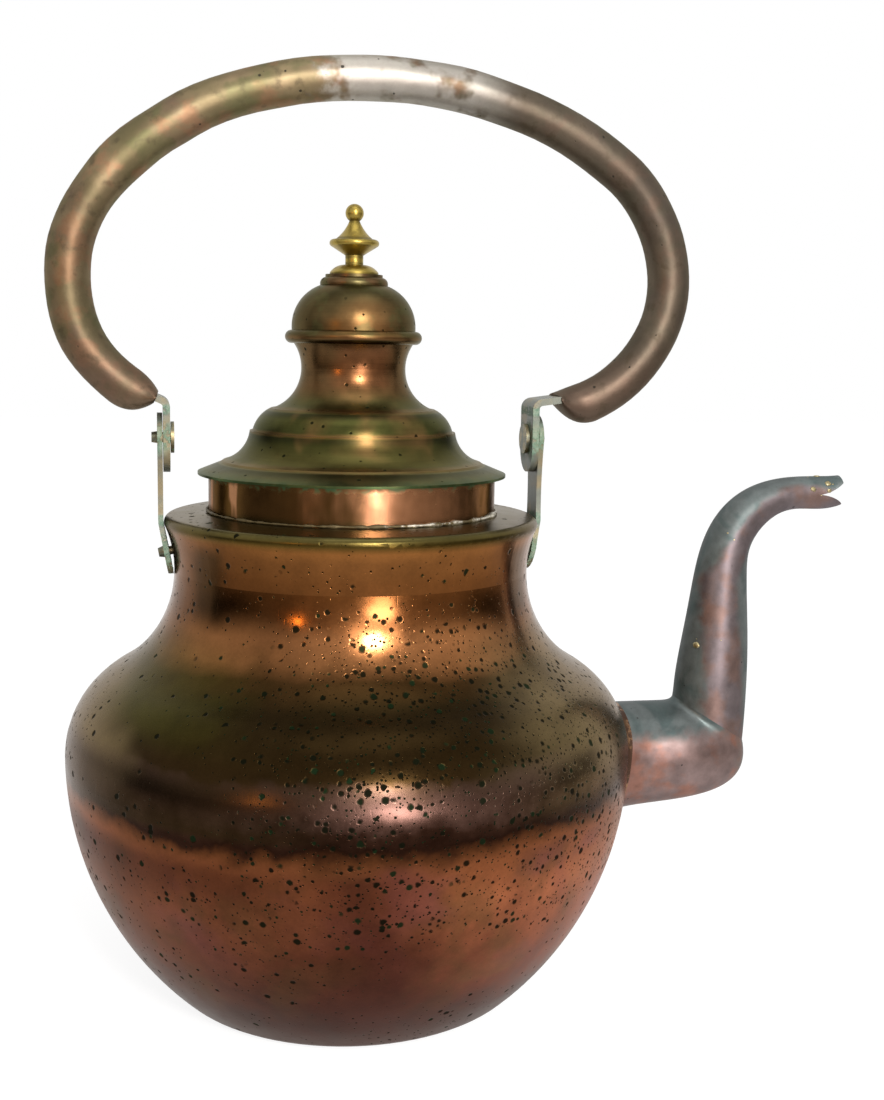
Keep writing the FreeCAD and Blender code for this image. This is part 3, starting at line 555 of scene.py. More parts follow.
@dataclass(frozen=True)
class CollarCopper:
    """Bright copper of the collar."""

    name: str = "collar_copper"
    # Bright and dull copper: a painted reflection, bright in the front middle and dull to the sides.
    bright: Colour = (0.46, 0.225, 0.115)
    dull: Colour = (0.092, 0.048, 0.016)
    tarnish: Colour = (0.055, 0.048, 0.018)
    verdigris: Colour = (0.05, 0.16, 0.08)
    pit: Colour = (0.008, 0.006, 0.003)
    edge: Colour = (0.6, 0.52, 0.46)

    def material(self) -> Material:
        """Mix bright and dull copper as a painted reflection, bright in the front middle and in vertical
        streaks and dull to the sides, with tarnish along its edges.

        Returns:
            The material.
        """
        p = Paint(self.name)
        streak = p.cloud(16, 3, 2, (1, 1, 4))
        mottle = p.cloud(4, 3, 4)
        # Painted reflection: bright copper in the front middle and in vertical streaks, dull copper to
        # the sides.
        bright_mask = abs(p.x - 12.0 + streak.swing(90)).between(46, 12) * 0.85
        skin = p.mixed(bright_mask.most(streak.between(0.56, 0.62) * 0.7), self.dull, self.bright)
        edge = (p.z + mottle.swing(5)).between(216.4, 219.6)
        foot = (p.z + streak.swing(3)).between(207, 204)
        crust = p.mixed(mottle.between(0.5, 0.62), self.tarnish, self.verdigris)
        skin = p.mixed(edge * 0.75, skin, crust)
        skin = p.mixed(foot * 0.5, skin, self.tarnish)
        pit, _ = p.pits(9, 0.3, 1.3, 0.42, 6)
        skin = p.mixed(pit * 0.92, skin, self.pit)
        rough = 0.17 + 0.14 * mottle + 0.3 * edge + 0.4 * pit
        height = 0.3 * p.cloud(14, 1, 8) + 0.01 * mottle - 0.12 * pit
        return p.finish(skin, rough, height, Metallic=1.0, Specular_Tint=self.edge)


@dataclass(frozen=True)
class SpunCopper:
    """Spun copper of the lid: olive tarnish on the cone, bare on the waist."""

    name: str = "lid_copper"
    bands: Stops = (
        (206, (0.2, 0.1, 0.04)), (219.5, (0.045, 0.075, 0.03)), (222.5, (0.13, 0.11, 0.044)),
        (226, (0.09, 0.077, 0.023)), (235, (0.032, 0.033, 0.009)), (243, (0.064, 0.063, 0.018)),
        (250, (0.085, 0.071, 0.024)), (257, (0.135, 0.058, 0.023)), (270, (0.155, 0.067, 0.028)),
        (274, (0.135, 0.066, 0.028)), (276.5, (0.12, 0.072, 0.024)), (279, (0.17, 0.088, 0.032)),
        (288, (0.16, 0.088, 0.034)), (293, (0.085, 0.066, 0.027)), (296.7, (0.045, 0.034, 0.014)),
        (298.2, (0.075, 0.052, 0.027)), (301.3, (0.085, 0.056, 0.029)))
    ledges: tuple[float, ...] = (224.7, 237.1, 246.5, 275.8)
    copper: Colour = (0.26, 0.125, 0.05)
    # Painted shade under the ledges.
    ledge_shade: Colour = (0.022, 0.022, 0.008)
    # Painted dark reflections on the flanks of the waist (brown) and the dome (olive).
    brown: Colour = (0.095, 0.058, 0.024)
    olive: Colour = (0.062, 0.05, 0.021)
    moss: Colour = (0.085, 0.078, 0.03)
    pit: Colour = (0.006, 0.008, 0.003)
    edge: Colour = (0.74, 0.74, 0.66)

    def material(self) -> Material:
        """Mix the bands with spun rings, ledges worn bright and partly painted as highlights, painted
        shade under them, painted dark reflections on the flanks of the waist and dome, and small pits.

        Returns:
            The material.
        """
        p = Paint(self.name)
        drift = p.cloud(24, 2, 1, warp=0.5)
        mottle = p.cloud(5, 4, 3)
        rings = p.cloud(0.55, 2, 7, (60, 60, 1))
        skin = p.ramp(p.z + mottle.swing(3), self.bands)
        for ledge in self.ledges:
            # Copper worn bare on each ledge, partly a painted highlight along it, and painted shade just
            # under it.
            bright_mask = (abs(p.z - ledge) + mottle.swing(1.6)).between(1.3, 0.1)
            skin = p.mixed(bright_mask * 0.3, skin, self.copper)
            dark_tone = (p.z + mottle.swing(1.5)).between(ledge - 4, ledge - 1.6)
            skin = p.mixed(dark_tone * p.z.between(ledge - 0.9, ledge - 1.3) * 0.75, skin, self.ledge_shade)
        wear = drift.between(0.52, 0.75) * p.z.between(224, 232)
        skin = p.mixed(wear * 0.35, skin, self.copper)
        bare = p.z.window(250, 258, 273, 276.5)
        # Painted dark reflection on both flanks of the waist.
        painted_dark_flanks = abs(p.x - 1.5 + drift.swing(14)).between(7, 15)
        skin = p.mixed(bare * painted_dark_flanks * 0.75, skin, self.brown)
        domed = p.z.window(274.5, 277, 292, 298)
        # Painted dark reflection on both flanks of the dome.
        painted_dark_flanks = (abs(p.x - 2.0 + drift.swing(20)) + (p.z - 280.0) * 0.5).between(6, 20)
        skin = p.mixed(domed * painted_dark_flanks * 0.8, skin, self.olive)
        stain = p.cloud(10, 4, 27).between(0.5, 0.62)
        skin = p.mixed(stain * p.z.between(274.5, 277) * 0.6, skin, self.moss)
        skin = p.stretched(skin, 0.1 + 0.8 * drift + 0.7 * mottle + 0.3 * rings)
        pit, _ = p.pits(3.2, 0.25, 0.9, 0.5, 9)
        skin = p.mixed(pit * 0.9, skin, self.pit)
        rough = 0.25 - 0.08 * bare + 0.16 * mottle + 0.06 * rings + 0.3 * pit
        height = 0.018 * rings + 0.16 * p.cloud(18, 1, 13) + 0.02 * mottle - 0.1 * pit
        return p.finish(skin, rough, height, Metallic=1.0, Specular_Tint=self.edge)


@dataclass(frozen=True)
class SpoutCopper:
    """Spout's copper: rubbed pink cheeks, slate tarnish on the side that faces up and back."""

    name: str
    joint: float
    pink: Colour
    brown: Colour
    satin: float
    slate: Colour = (0.118, 0.135, 0.132)
    teal: Colour = (0.064, 0.085, 0.083)
    solder: Colour = (0.38, 0.33, 0.19)
    pit: Colour = (0.012, 0.01, 0.008)
    edge: Colour = (0.5, 0.5, 0.5)
    neck_foot: float = 168.2
    neck_lean: float = 0.052
    bend: Point = (204.0, 178.0, 34.0)

    def side(self, p: Paint) -> Wire:
        """How far a point lies towards the spout's upper or pot side.

        Args:
            p: the material being mixed.

        Returns:
            About -1 to 1 across the tube.
        """
        flat = (p.z - 88.0 - (p.x - 110.0) * 0.03) / 23.0
        upright = (self.neck_foot - (p.z - 100.0) * self.neck_lean - p.x) / (17.6 - (p.z - 100.0) * 0.06)
        middle_x, middle_z, radius = self.bend
        aside, above = p.x - middle_x, (p.z - middle_z).most(0.0)
        arc = ((aside * aside + above * above).root() - radius) / 10.5
        neck = upright + (arc - upright) * p.z.between(172, 184)
        return flat + (neck - flat) * p.z.between(self.joint - 6, self.joint + 12)

    def material(self) -> Material:
        """Mix the rubbed and tarnished copper, grey solder smears and small pits.

        Returns:
            The material.
        """
        p = Paint(self.name)
        drift = p.cloud(22, 3, 1, warp=0.8)
        mottle = p.cloud(5, 4, 3)
        grain = p.cloud(0.9, 2, 5)
        side = self.side(p) + drift.swing(0.45) + mottle.swing(0.3) + 0.5 * p.z.between(180, 204)
        low = p.z.between(self.joint + 8, self.joint - 4)
        outer = side.between(-0.6, -0.25).most(low)
        corner = (p.x + mottle.swing(12)).between(170, 181) * low
        rubbed = side.between(0.86, 0.56) * outer * (1.0 - corner)
        dark = p.mixed(drift.between(0.45, 0.62), self.slate, self.teal)
        warm = p.mixed(p.cloud(14, 3, 9).between(0.42, 0.62), self.pink, self.brown)
        skin = p.mixed(rubbed, dark, warm)
        uneven = 0.1 + 0.8 * drift + 0.75 * mottle + 0.2 * grain
        skin = p.stretched(skin, uneven + 0.2 * p.x.between(190, 206))
        smear = p.cloud(9, 4, 13, (1, 1, 1.6)).between(0.68, 0.72) * p.z.between(150, 180)
        skin = p.mixed(smear * 0.8, skin, self.solder)
        pit, _ = p.pits(5.5, 0.2, 0.8, 0.45, 15)
        skin = p.mixed(pit * 0.85, skin, self.pit)
        rough = self.satin + 0.16 * mottle + 0.04 * (1 - rubbed) + 0.2 * pit
        metal = 0.58 + 0.22 * rubbed - 0.3 * pit
        height = 0.3 * p.cloud(16, 1, 17) + 0.03 * mottle + 0.006 * grain - 0.08 * pit
        return p.finish(skin, rough, height, Metallic=metal, Specular_Tint=self.edge)


@dataclass(frozen=True)
class HandledCopper:
    """Bail's copper, browned and rubbed by hands."""

    name: str = "bail_copper"
    bronze: Colour = (0.178, 0.132, 0.076)
    olive: Colour = (0.1, 0.083, 0.042)
    pink: Colour = (0.108, 0.069, 0.05)
    grey: Colour = (0.076, 0.062, 0.05)
    copper: Colour = (0.185, 0.098, 0.054)
    green: Colour = (0.08, 0.082, 0.036)
    # Painted highlight on the crown.
    pale: Colour = (0.34, 0.32, 0.285)
    dark: Colour = (0.048, 0.036, 0.022)
    pit: Colour = (0.008, 0.007, 0.004)
    edge: Colour = (0.62, 0.6, 0.52)

    def material(self) -> Material:
        """Mix bronze brown, olive tarnish, a greyer spout side, a painted highlight on the crown, a
        painted lighter top, small pits and dents.

        Returns:
            The material.
        """
        p = Paint(self.name)
        drift = p.cloud(34, 3, 1)
        mottle = p.cloud(6, 4, 3)
        grain = p.cloud(1, 2, 5)
        skin = p.mixed(drift.between(0.34, 0.64), self.olive, self.bronze)
        skin = p.mixed(p.cloud(26, 3, 7).between(0.44, 0.68) * 0.7, skin, self.pink)
        skin = p.mixed(p.cloud(13, 4, 19).between(0.5, 0.62) * 0.6, skin, self.copper)
        skin = p.mixed(p.cloud(17, 4, 23).between(0.52, 0.64) * 0.6, skin, self.green)
        skin = p.mixed((p.x + drift.swing(80)).between(10, 70) * 0.75, skin, self.grey)
        skin = p.mixed(p.z.between(285, 252) * 0.6, skin, self.pink)
        skin = p.mixed(mottle.between(0.54, 0.72) * 0.6, skin, self.dark)
        # Painted highlight: pale patches on the crown.
        crown = p.z.between(352, 368) * (p.x + mottle.swing(30)).between(-18, -4) * p.x.between(70, 44)
        bright_mask = p.cloud(15, 3, 15).between(0.36, 0.5) * crown
        skin = p.mixed(bright_mask * 0.85, skin, self.pale)
        # Painted light: the top of the grip is lighter.
        painted_top_light = p.z.between(315, 350) * p.x.between(30, -30)
        skin = p.stretched(skin, 0.44 + 0.5 * drift + 0.46 * mottle + 0.2 * grain + 0.45 * painted_top_light)
        pit, _ = p.pits(5, 0.22, 0.85, 0.5, 9)
        skin = p.mixed(pit * 0.9, skin, self.pit)
        rough = 0.33 + 0.2 * mottle + 0.06 * grain + 0.2 * pit
        height = 0.5 * p.cloud(19, 1, 11) + 0.14 * p.cloud(6, 2, 12) + 0.006 * grain - 0.1 * pit
        return p.finish(skin, rough, height, Metallic=0.78 - 0.5 * pit, Specular_Tint=self.edge)


@dataclass(frozen=True)
class WeatheredStrip:
    """Hammered strip of the straps and tangs, with verdigris creeping from its joints."""

    name: str
    joints: tuple[tuple[float, float], ...]
    metal: Colour = (0.18, 0.152, 0.088)
    grey: Colour = (0.132, 0.144, 0.118)
    verdigris: Colour = (0.085, 0.185, 0.122)
    pale: Colour = (0.19, 0.255, 0.19)

    def material(self) -> Material:
        """Mix grey metal with green crust near each joint's height and reach.

        Returns:
            The material.
        """
        p = Paint(self.name)
        drift = p.cloud(11, 3, 1)
        mottle = p.cloud(2.6, 4, 3)
        skin = p.mixed(drift.between(0.4, 0.62), self.grey, self.metal)
        crust = (mottle - 0.62).most(0.0) * 2.2
        for height, reach in self.joints:
            away = abs(p.z - height) + drift.swing(1.3) * reach
            crust = crust.most(away.between(reach, 0.35 * reach))
        green = p.mixed(mottle.between(0.45, 0.65), self.verdigris, self.pale)
        crust = crust * mottle.between(0.36, 0.52)
        skin = p.mixed(crust * 0.8, skin, green)
        skin = p.stretched(skin, 0.7 + 0.3 * drift + 0.35 * mottle)
        rough = 0.36 + 0.16 * mottle + 0.3 * crust
        height = 0.12 * p.cloud(7, 1, 7) + 0.05 * mottle + 0.1 * crust
        return p.finish(skin, rough, height, Metallic=0.45 - 0.4 * crust)


@dataclass(frozen=True)
class RivetMetal:
    """Hammered rivet heads with green in their creases."""

    name: str = "rivet_copper"
    metal: Colour = (0.29, 0.235, 0.13)
    grey: Colour = (0.13, 0.135, 0.1)
    verdigris: Colour = (0.1, 0.22, 0.14)

    def material(self) -> Material:
        """Mix worn metal, grey tarnish and verdigris.

        Returns:
            The material.
        """
        p = Paint(self.name)
        drift = p.cloud(5, 3, 1)
        mottle = p.cloud(1.6, 3, 3)
        crust = mottle.between(0.55, 0.68) * drift.between(0.44, 0.6)
        skin = p.mixed(drift.between(0.4, 0.62), self.grey, self.metal)
        skin = p.mixed(crust * 0.8, skin, self.verdigris)
        height = 0.12 * drift + 0.05 * mottle
        rough = 0.34 + 0.2 * mottle + 0.2 * crust
        return p.finish(skin, rough, height, Metallic=0.95 - 0.7 * crust)


@dataclass(frozen=True)
class TurnedBrass:
    """Satin brass of the turned knob, dull in its grooves."""

    name: str = "turned_brass"
    brass: Colour = (0.35, 0.258, 0.06)
    shade: Colour = (0.155, 0.12, 0.032)
    grooves: tuple[tuple[float, float], ...] = (
        (301.4, 0.7), (305.7, 0.9), (308.6, 1.3), (315.7, 0.9), (322.9, 1.3))

    def material(self) -> Material:
        """Mix bright and dull brass by height, with turning lines.

        Returns:
            The material.
        """
        p = Paint(self.name)
        mottle = p.cloud(3, 4, 3)
        lines = p.cloud(0.3, 1, 5, (60, 60, 1))
        dull = mottle.between(0.56, 0.72) * 0.5
        for height, reach in self.grooves:
            away = abs(p.z - height) + mottle.swing(reach)
            dull = dull.most(away.between(reach, 0.3 * reach) * 0.8)
        skin = p.mixed(dull, self.brass, self.shade)
        skin = p.stretched(skin, 0.75 + 0.3 * mottle + 0.2 * lines)
        height = 0.014 * lines + 0.03 * mottle
        rough = 0.28 + 0.14 * mottle + 0.16 * dull
        return p.finish(skin, rough, height, Metallic=1.0)


@dataclass(frozen=True)
class SoftSolder:
    """Run solder: bright where it was wiped, grey and dirty elsewhere."""

    name: str
    bright: Colour
    dark_tone: Colour
    level: float = 0.5
    dull_from: float = -1000.0

    def material(self) -> Material:
        """Mix bright and dirty metal, dirtiest towards the side away from the spout.

        Returns:
            The material.
        """
        p = Paint(self.name)
        drift = p.cloud(9, 3, 1)
        mottle = p.cloud(1.6, 3, 3)
        dirty = (0.6 * drift + 0.4 * mottle).between(self.level, self.level + 0.1)
        dirty = dirty.most((p.x + drift.swing(60)).between(self.dull_from + 12, self.dull_from))
        skin = p.stretched(p.mixed(dirty, self.bright, self.dark_tone), 0.75 + 0.5 * mottle)
        rough = 0.26 + 0.2 * mottle + 0.2 * dirty
        height = 0.16 * drift + 0.09 * mottle
        return p.finish(skin, rough, height, Metallic=0.97 - 0.3 * dirty)


@dataclass(frozen=True)
class Crust:
    """Grains of verdigris."""

    name: str = "verdigris_crust"
    green: Colour = (0.085, 0.23, 0.135)
    pale: Colour = (0.24, 0.38, 0.26)

    def material(self) -> Material:
        """Mix two greens, dry and matt.

        Returns:
            The material.
        """
        p = Paint(self.name)
        drift = p.cloud(3, 3, 1)
        grain = p.cloud(0.5, 2, 3)
        skin = p.stretched(p.mixed(drift.between(0.4, 0.62), self.green, self.pale), 0.6 + 0.8 * grain)
        return p.finish(skin, 0.72 + 0.2 * grain, 0.08 * grain, Metallic=0.0)


class Lamp(Enum):
    """Lamps of the studio: where each stands, its width and height, its power and its colour."""

    WINDOW = ((0.16, -1.46, 0.88), (0.28, 0.28), 16.0, (1.0, 0.98, 0.96))
    SHEEN = ((0.25, -1.5, 0.24), (0.44, 0.36), 6.5, (1.0, 0.9, 0.9))
    GLINT = ((-0.9, -1.03, 0.42), (0.09, 0.09), 0.9, (1.0, 0.46, 0.1))
    GLOW = ((0.17, -1.5, 0.8), (0.85, 0.9), 5.0, (1.0, 0.94, 0.92))
    TOP = ((0.1, -0.35, 1.7), (1.2, 0.7), 3.0, (1.0, 1.0, 1.0))


@dataclass
class Studio:
    """Camera, pale floor, white surroundings, soft lamps and a dark curtain that the metal mirrors."""

    pixel: float = 0.42 * MM
    distance: float = 1400.0
    eye: float = 650.0
    frame_height: float = 1100.0
    turn: float = -8.0
    swing: float = 3.72
    tilt: float = 8.3
    roll: float = 1.0
    sensor: float = 36.0
    sky_light: float = 0.55
    floor_width: float = 9.0
    floor_drop: float = 0.0003
    floor_grey: Colour = (0.9, 0.9, 0.9)
    floor_glow: float = 1.2
    floor_glow_share: float = 0.72
    curtain_radius: float = 1.9
    curtain_height: float = 1.15
    curtain_half_angle: float = 103.0
    curtain_steps: int = 48
    curtain_tones: Stops = (
        (0, (0.66, 0.58, 0.5)), (0.35, (0.56, 0.48, 0.4)), (0.62, (0.38, 0.32, 0.27)),
        (0.86, (0.3, 0.26, 0.22)), (0.95, (0.17, 0.15, 0.12)), (1, (0.035, 0.035, 0.035)))
    curtain_fade: tuple[float, float] = (700.0, 1250.0)
    curtain_sag: float = 480.0
    cloth_radius: float = 0.28
    cloth_height: float = 0.002
    cloth_dim: float = 0.17
    aim: Point = (0.0, 0.0, 0.15)

    def build(self) -> None:
        """Set up everything round the pot."""
        bpy.context.scene.view_settings.view_transform = "Standard"
        self.camera()
        self.world()
        self.floor()
        self.curtain()
        for lamp in Lamp:
            self.lamp(lamp)
        LOG.info("studio ready")

    def camera(self) -> None:
        """Place the camera where the photograph was taken."""
        turn, swing = math.radians(self.turn), math.radians(self.swing)
        tilt, roll = math.radians(self.tilt), math.radians(self.roll)
        up = Vector((0, 0, 1))
        ahead = Vector((-math.sin(turn), math.cos(turn), 0))
        aside = Vector((math.cos(turn), math.sin(turn), 0))
        level = ahead * math.cos(swing) + aside * math.sin(swing)
        right = aside * math.cos(swing) - ahead * math.sin(swing)
        sight = level * math.cos(tilt) - up * math.sin(tilt)
        top = up * math.cos(tilt) + level * math.sin(tilt)
        right, top = (right * math.cos(roll) + top * math.sin(roll),
                      top * math.cos(roll) - right * math.sin(roll))
        lens = bpy.data.cameras.new("camera")
        lens.sensor_fit = "AUTO"
        lens.sensor_width = self.sensor
        lens.lens = self.distance / self.frame_height * self.sensor
        eye = bpy.data.objects.new("camera", lens)
        place = (up * self.eye - ahead * self.distance) * self.pixel
        eye.matrix_world = Matrix.Translation(place) @ Matrix((right, top, -sight)).transposed().to_4x4()
        bpy.context.scene.collection.objects.link(eye)
        bpy.context.scene.camera = eye

    @staticmethod
    def seen(book: Book) -> Wire:
        """Tell the rays that show the background itself, also in metal.

        Args:
            book: the tree being written.

        Returns:
            1 for those rays.
        """
        path = book.node("ShaderNodeLightPath")
        seen = book.out(path, "Is Camera Ray").most(book.out(path, "Is Glossy Ray"))
        return seen.most(book.out(path, "Is Transmission Ray"))

    def world(self) -> None:
        """White to the eye and in metal, plainer as a light."""
        world = bpy.data.worlds.new("white_room")
        bpy.context.scene.world = world
        world.use_nodes = True
        book = Book(world.node_tree)
        world.node_tree.nodes.clear()
        strength = self.sky_light + (1.0 - self.sky_light) * self.seen(book)
        sky = book.node("ShaderNodeBackground", {"Color": WHITE, "Strength": strength})
        book.node("ShaderNodeOutputWorld", {"Surface": book.out(sky)})

    def floor(self) -> None:
        """Pale floor that keeps the pot's shadow."""
        half = self.floor_width / 2
        mesh = bpy.data.meshes.new("floor")
        corners = [(-half, -half, 0), (half, -half, 0), (half, half, 0), (-half, half, 0)]
        mesh.from_pydata(corners, [], [(0, 1, 2, 3)])
        material = bpy.data.materials.new("pale_floor")
        material.use_nodes = True
        book = Book(material.node_tree)
        material.node_tree.nodes.clear()
        sheet = book.out(book.node("ShaderNodeBsdfDiffuse", {"Color": self.floor_grey}))
        white = book.out(book.node("ShaderNodeEmission", {"Color": WHITE, "Strength": self.floor_glow}))
        share = self.floor_glow_share * self.seen(book)
        made = book.node("ShaderNodeMixShader", {0: share, 1: sheet, 2: white})
        book.node("ShaderNodeOutputMaterial", {"Surface": book.out(made)})
        mesh.materials.append(material)
        floor = add_piece("floor", mesh)
        floor.location.z = -self.floor_drop

    def curtain(self) -> None:
        """Dark half-round curtain and its cloth on the floor, seen only in the metal: they glow with
        their own emission, no lamp, as a painted reflection of a room, white near the floor and the pot.
        """
        steps = self.curtain_steps
        mesh = bpy.data.meshes.new("curtain")
        points, faces = [], []
        for step in range(steps + 1):
            angle = math.radians(-90 + self.curtain_half_angle * (2 * step / steps - 1))
            for radius, height in ((self.cloth_radius, self.cloth_height),
                                   (self.curtain_radius, self.cloth_height),
                                   (self.curtain_radius, self.curtain_height)):
                points.append((radius * math.cos(angle), radius * math.sin(angle), height))
        for step in range(steps):
            for low in (3 * step, 3 * step + 1):
                faces.append((low, low + 1, low + 4, low + 3))
        mesh.from_pydata(points, [], faces)
        p = Paint("curtain_cloth")
        side = abs(p.x / (self.curtain_radius / MM))
        tone = p.ramp(side, self.curtain_tones)
        near = (1.0 + self.cloth_dim) * self.cloth_radius / MM
        lit = (near / (p.x * p.x + p.y * p.y).root() - self.cloth_dim).most(0.0).least(1.0)
        lit = lit.most((p.z + self.curtain_sag * side).between(*self.curtain_fade))
        p.finish(BLACK, 1.0, Specular_IOR_Level=0.0, Emission_Color=p.mixed(lit, tone, WHITE),
                 Emission_Strength=1.0)
        mesh.materials.append(p.material)
        curtain = add_piece("curtain", mesh)
        curtain.visible_camera = False
        curtain.visible_diffuse = False
        curtain.visible_shadow = False

    def lamp(self, lamp: Lamp) -> None:
        """Hang one lamp, turned to the pot.

        Args:
            lamp: which one.
        """
        place, (width, height), power, colour = lamp.value
        light = bpy.data.lights.new(lamp.name.lower(), "AREA")
        light.shape = "ELLIPSE"
        light.size, light.size_y = width, height
        light.energy = power
        light.color = colour
        hung = bpy.data.objects.new(lamp.name.lower(), light)
        sight = Vector(self.aim) - Vector(place)
        facing = sight.to_track_quat("-Z", "Y").to_matrix().to_4x4()
        hung.matrix_world = Matrix.Translation(place) @ facing
        hung.visible_camera = False
        bpy.context.scene.collection.objects.link(hung)


class Spatter:
    """Grains scattered on a patch of skin, such as solder specks or verdigris."""

    SMALLEST = 0.25
    WIDTH = 0.8
    THICKNESS = 0.28
    RAGGED = 0.9

    def __init__(self, material: Material) -> None:
        """Write the tree: points on the patch, a flat lump on each.

        Args:
            material: what the grains are made of.
        """
        recipe = Recipe("spatter_of_" + material.name, ("Grain", "Density"))
        dots = recipe.node("GeometryNodeDistributePointsOnFaces", {
            "Mesh": recipe.size("Geometry"), "Density": recipe.size("Density"),
            "Seed": recipe.size("Seed")})
        lump = recipe.node("GeometryNodeMeshIcoSphere", {"Radius": 1.0, "Subdivisions": 2})
        rag = recipe.node("ShaderNodeTexNoise", {"Scale": 1.3, "Detail": 1.0})
        normal = recipe.node("GeometryNodeInputNormal")
        push = recipe.stretched(recipe.out(normal), self.RAGGED * recipe.out(rag) - self.RAGGED / 2)
        rough = recipe.node("GeometryNodeSetPosition", {"Geometry": recipe.out(lump), "Offset": push})
        chance = recipe.node("FunctionNodeRandomValue", {
            2: self.SMALLEST, 3: 1.0, "Seed": recipe.size("Seed")}, data_type="FLOAT")
        grain = recipe.out(chance, 1) ** 1.6 * recipe.size("Grain")
        flat = recipe.node("ShaderNodeCombineXYZ", {
            0: grain, 1: grain * self.WIDTH, 2: grain * self.THICKNESS})
        placed = recipe.node("GeometryNodeInstanceOnPoints", {
            "Points": recipe.out(dots, "Points"), "Instance": recipe.out(rough),
            "Rotation": recipe.out(dots, "Rotation"), "Scale": recipe.out(flat)})
        recipe.close(recipe.out(placed), material)
        self.recipe = recipe

    def scatter(self, name: str, skin: Mesh, grain: float, density: float,
                seed: int) -> Object:
        """Scatter grains, with the largest one's radius in metres and their number to a square metre."""
        return self.recipe.make(name, skin, {"Grain": grain, "Density": density, "Seed": seed})


@dataclass
class Pot:
    """Body and collar with the run of solder round the collar's foot."""

    seam_radius: float = 60.35 * MM
    seam_height: float = 204.3 * MM
    seam_bead: float = 1.05 * MM
    seam_steps: int = 480
    bead_steps: int = 10
    swell_pitch: float = 150.0
    lump_pitch: float = 420.0
    lump: float = 0.7
    seed: int = 3

    def build(self, nodes: dict[str, Object]) -> None:
        """Dress the solids and lay the solder.

        Args:
            nodes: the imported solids, by name.
        """
        dress(nodes["body_shell"], BellyCopper().material())
        dress(nodes["mouth_collar"], CollarCopper().material())
        seam = self.solder_seam()
        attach(seam, "pot")
        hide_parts("collar_solder")
        LOG.info("laid %s", seam.name)

    def solder_seam(self) -> Object:
        """Make the uneven bead, thicker on the spout's side.

        Returns:
            The piece.
        """
        tin = SoftSolder("tin_solder", (0.66, 0.61, 0.5), (0.105, 0.08, 0.036), 0.49, 2.0).material()
        recipe = Recipe("solder_seam", ("Radius", "Height", "Bead"))
        ring = recipe.node("GeometryNodeCurvePrimitiveCircle", {
            "Resolution": self.seam_steps, "Radius": recipe.size("Radius")})
        lift = recipe.node("ShaderNodeCombineXYZ", {2: recipe.size("Height")})
        raised = recipe.node("GeometryNodeSetPosition", {
            "Geometry": recipe.out(ring), "Offset": recipe.out(lift)})
        place = recipe.out(recipe.node("GeometryNodeInputPosition"))
        apart = recipe.node("ShaderNodeSeparateXYZ", {0: place})
        swell = recipe.node("ShaderNodeTexNoise", {
            "Vector": place, "W": recipe.size("Seed"), "Scale": self.swell_pitch, "Detail": 3.0},
            noise_dimensions="4D")
        right = recipe.out(apart, 0).between(-0.03, 0.05)
        width = 0.3 + 0.35 * right + recipe.out(swell).between(0.38, 0.72) * (0.55 + 0.3 * right)
        round_wire = recipe.node("GeometryNodeCurvePrimitiveCircle", {
            "Resolution": self.bead_steps, "Radius": 1.0})
        tube = recipe.node("GeometryNodeCurveToMesh", {
            "Curve": recipe.out(raised), "Profile Curve": recipe.out(round_wire),
            "Scale": width * recipe.size("Bead")})
        lumps = recipe.node("ShaderNodeTexNoise", {
            "Vector": place, "Scale": self.lump_pitch, "Detail": 1.0})
        normal = recipe.out(recipe.node("GeometryNodeInputNormal"))
        push = recipe.stretched(normal, (recipe.out(lumps) - 0.5) * recipe.size("Bead") * self.lump)
        uneven = recipe.node("GeometryNodeSetPosition", {"Geometry": recipe.out(tube), "Offset": push})
        recipe.close(recipe.out(uneven), tin)
        return recipe.make("solder_seam", bpy.data.meshes.new("seam_start"), {
            "Radius": self.seam_radius, "Height": self.seam_height, "Bead": self.seam_bead,
            "Seed": self.seed})


@dataclass
class Spout:
    """Elbow, neck and beak, with the specks of solder left by old mends."""

    speck: float = 1.8 * MM
    mends: tuple[tuple[str, Point, float, int, int], ...] = (
        ("bend_specks", (167.0, -10.0, 190.0), 5.0, 60000, 4),
        ("neck_specks", (156.0, -10.0, 148.0), 8.0, 20000, 9),
        ("beak_specks", (211.0, -5.0, 216.0), 7.0, 60000, 2))

    def build(self, nodes: dict[str, Object]) -> None:
        """Dress the solids and scatter the specks.

        Args:
            nodes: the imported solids, by name.
        """
        elbow = SpoutCopper("elbow_copper", 118.0, (0.205, 0.146, 0.136), (0.265, 0.133, 0.1), 0.27)
        neck = SpoutCopper("neck_copper", 96.0, (0.144, 0.121, 0.126), (0.16, 0.108, 0.095), 0.36)
        dress(nodes["spout_elbow"], elbow.material())
        dress(nodes["spout_neck"], neck.material())
        braze = SoftSolder("spout_braze", (0.3, 0.17, 0.09), (0.055, 0.026, 0.014), 0.4)
        dress(nodes["spout_solder"], braze.material())
        yellow = SoftSolder("yellow_solder", (0.42, 0.36, 0.2), (0.25, 0.21, 0.11), 0.5).material()
        spatter = Spatter(yellow)
        for name, place, reach, density, seed in self.mends:
            skin = patch(nodes["spout_neck"], name + "_skin", at(*place), reach * MM)
            specks = spatter.scatter(name, skin, self.speck, density, seed)
            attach(specks, "pot")
            LOG.info("scattered %s", name)


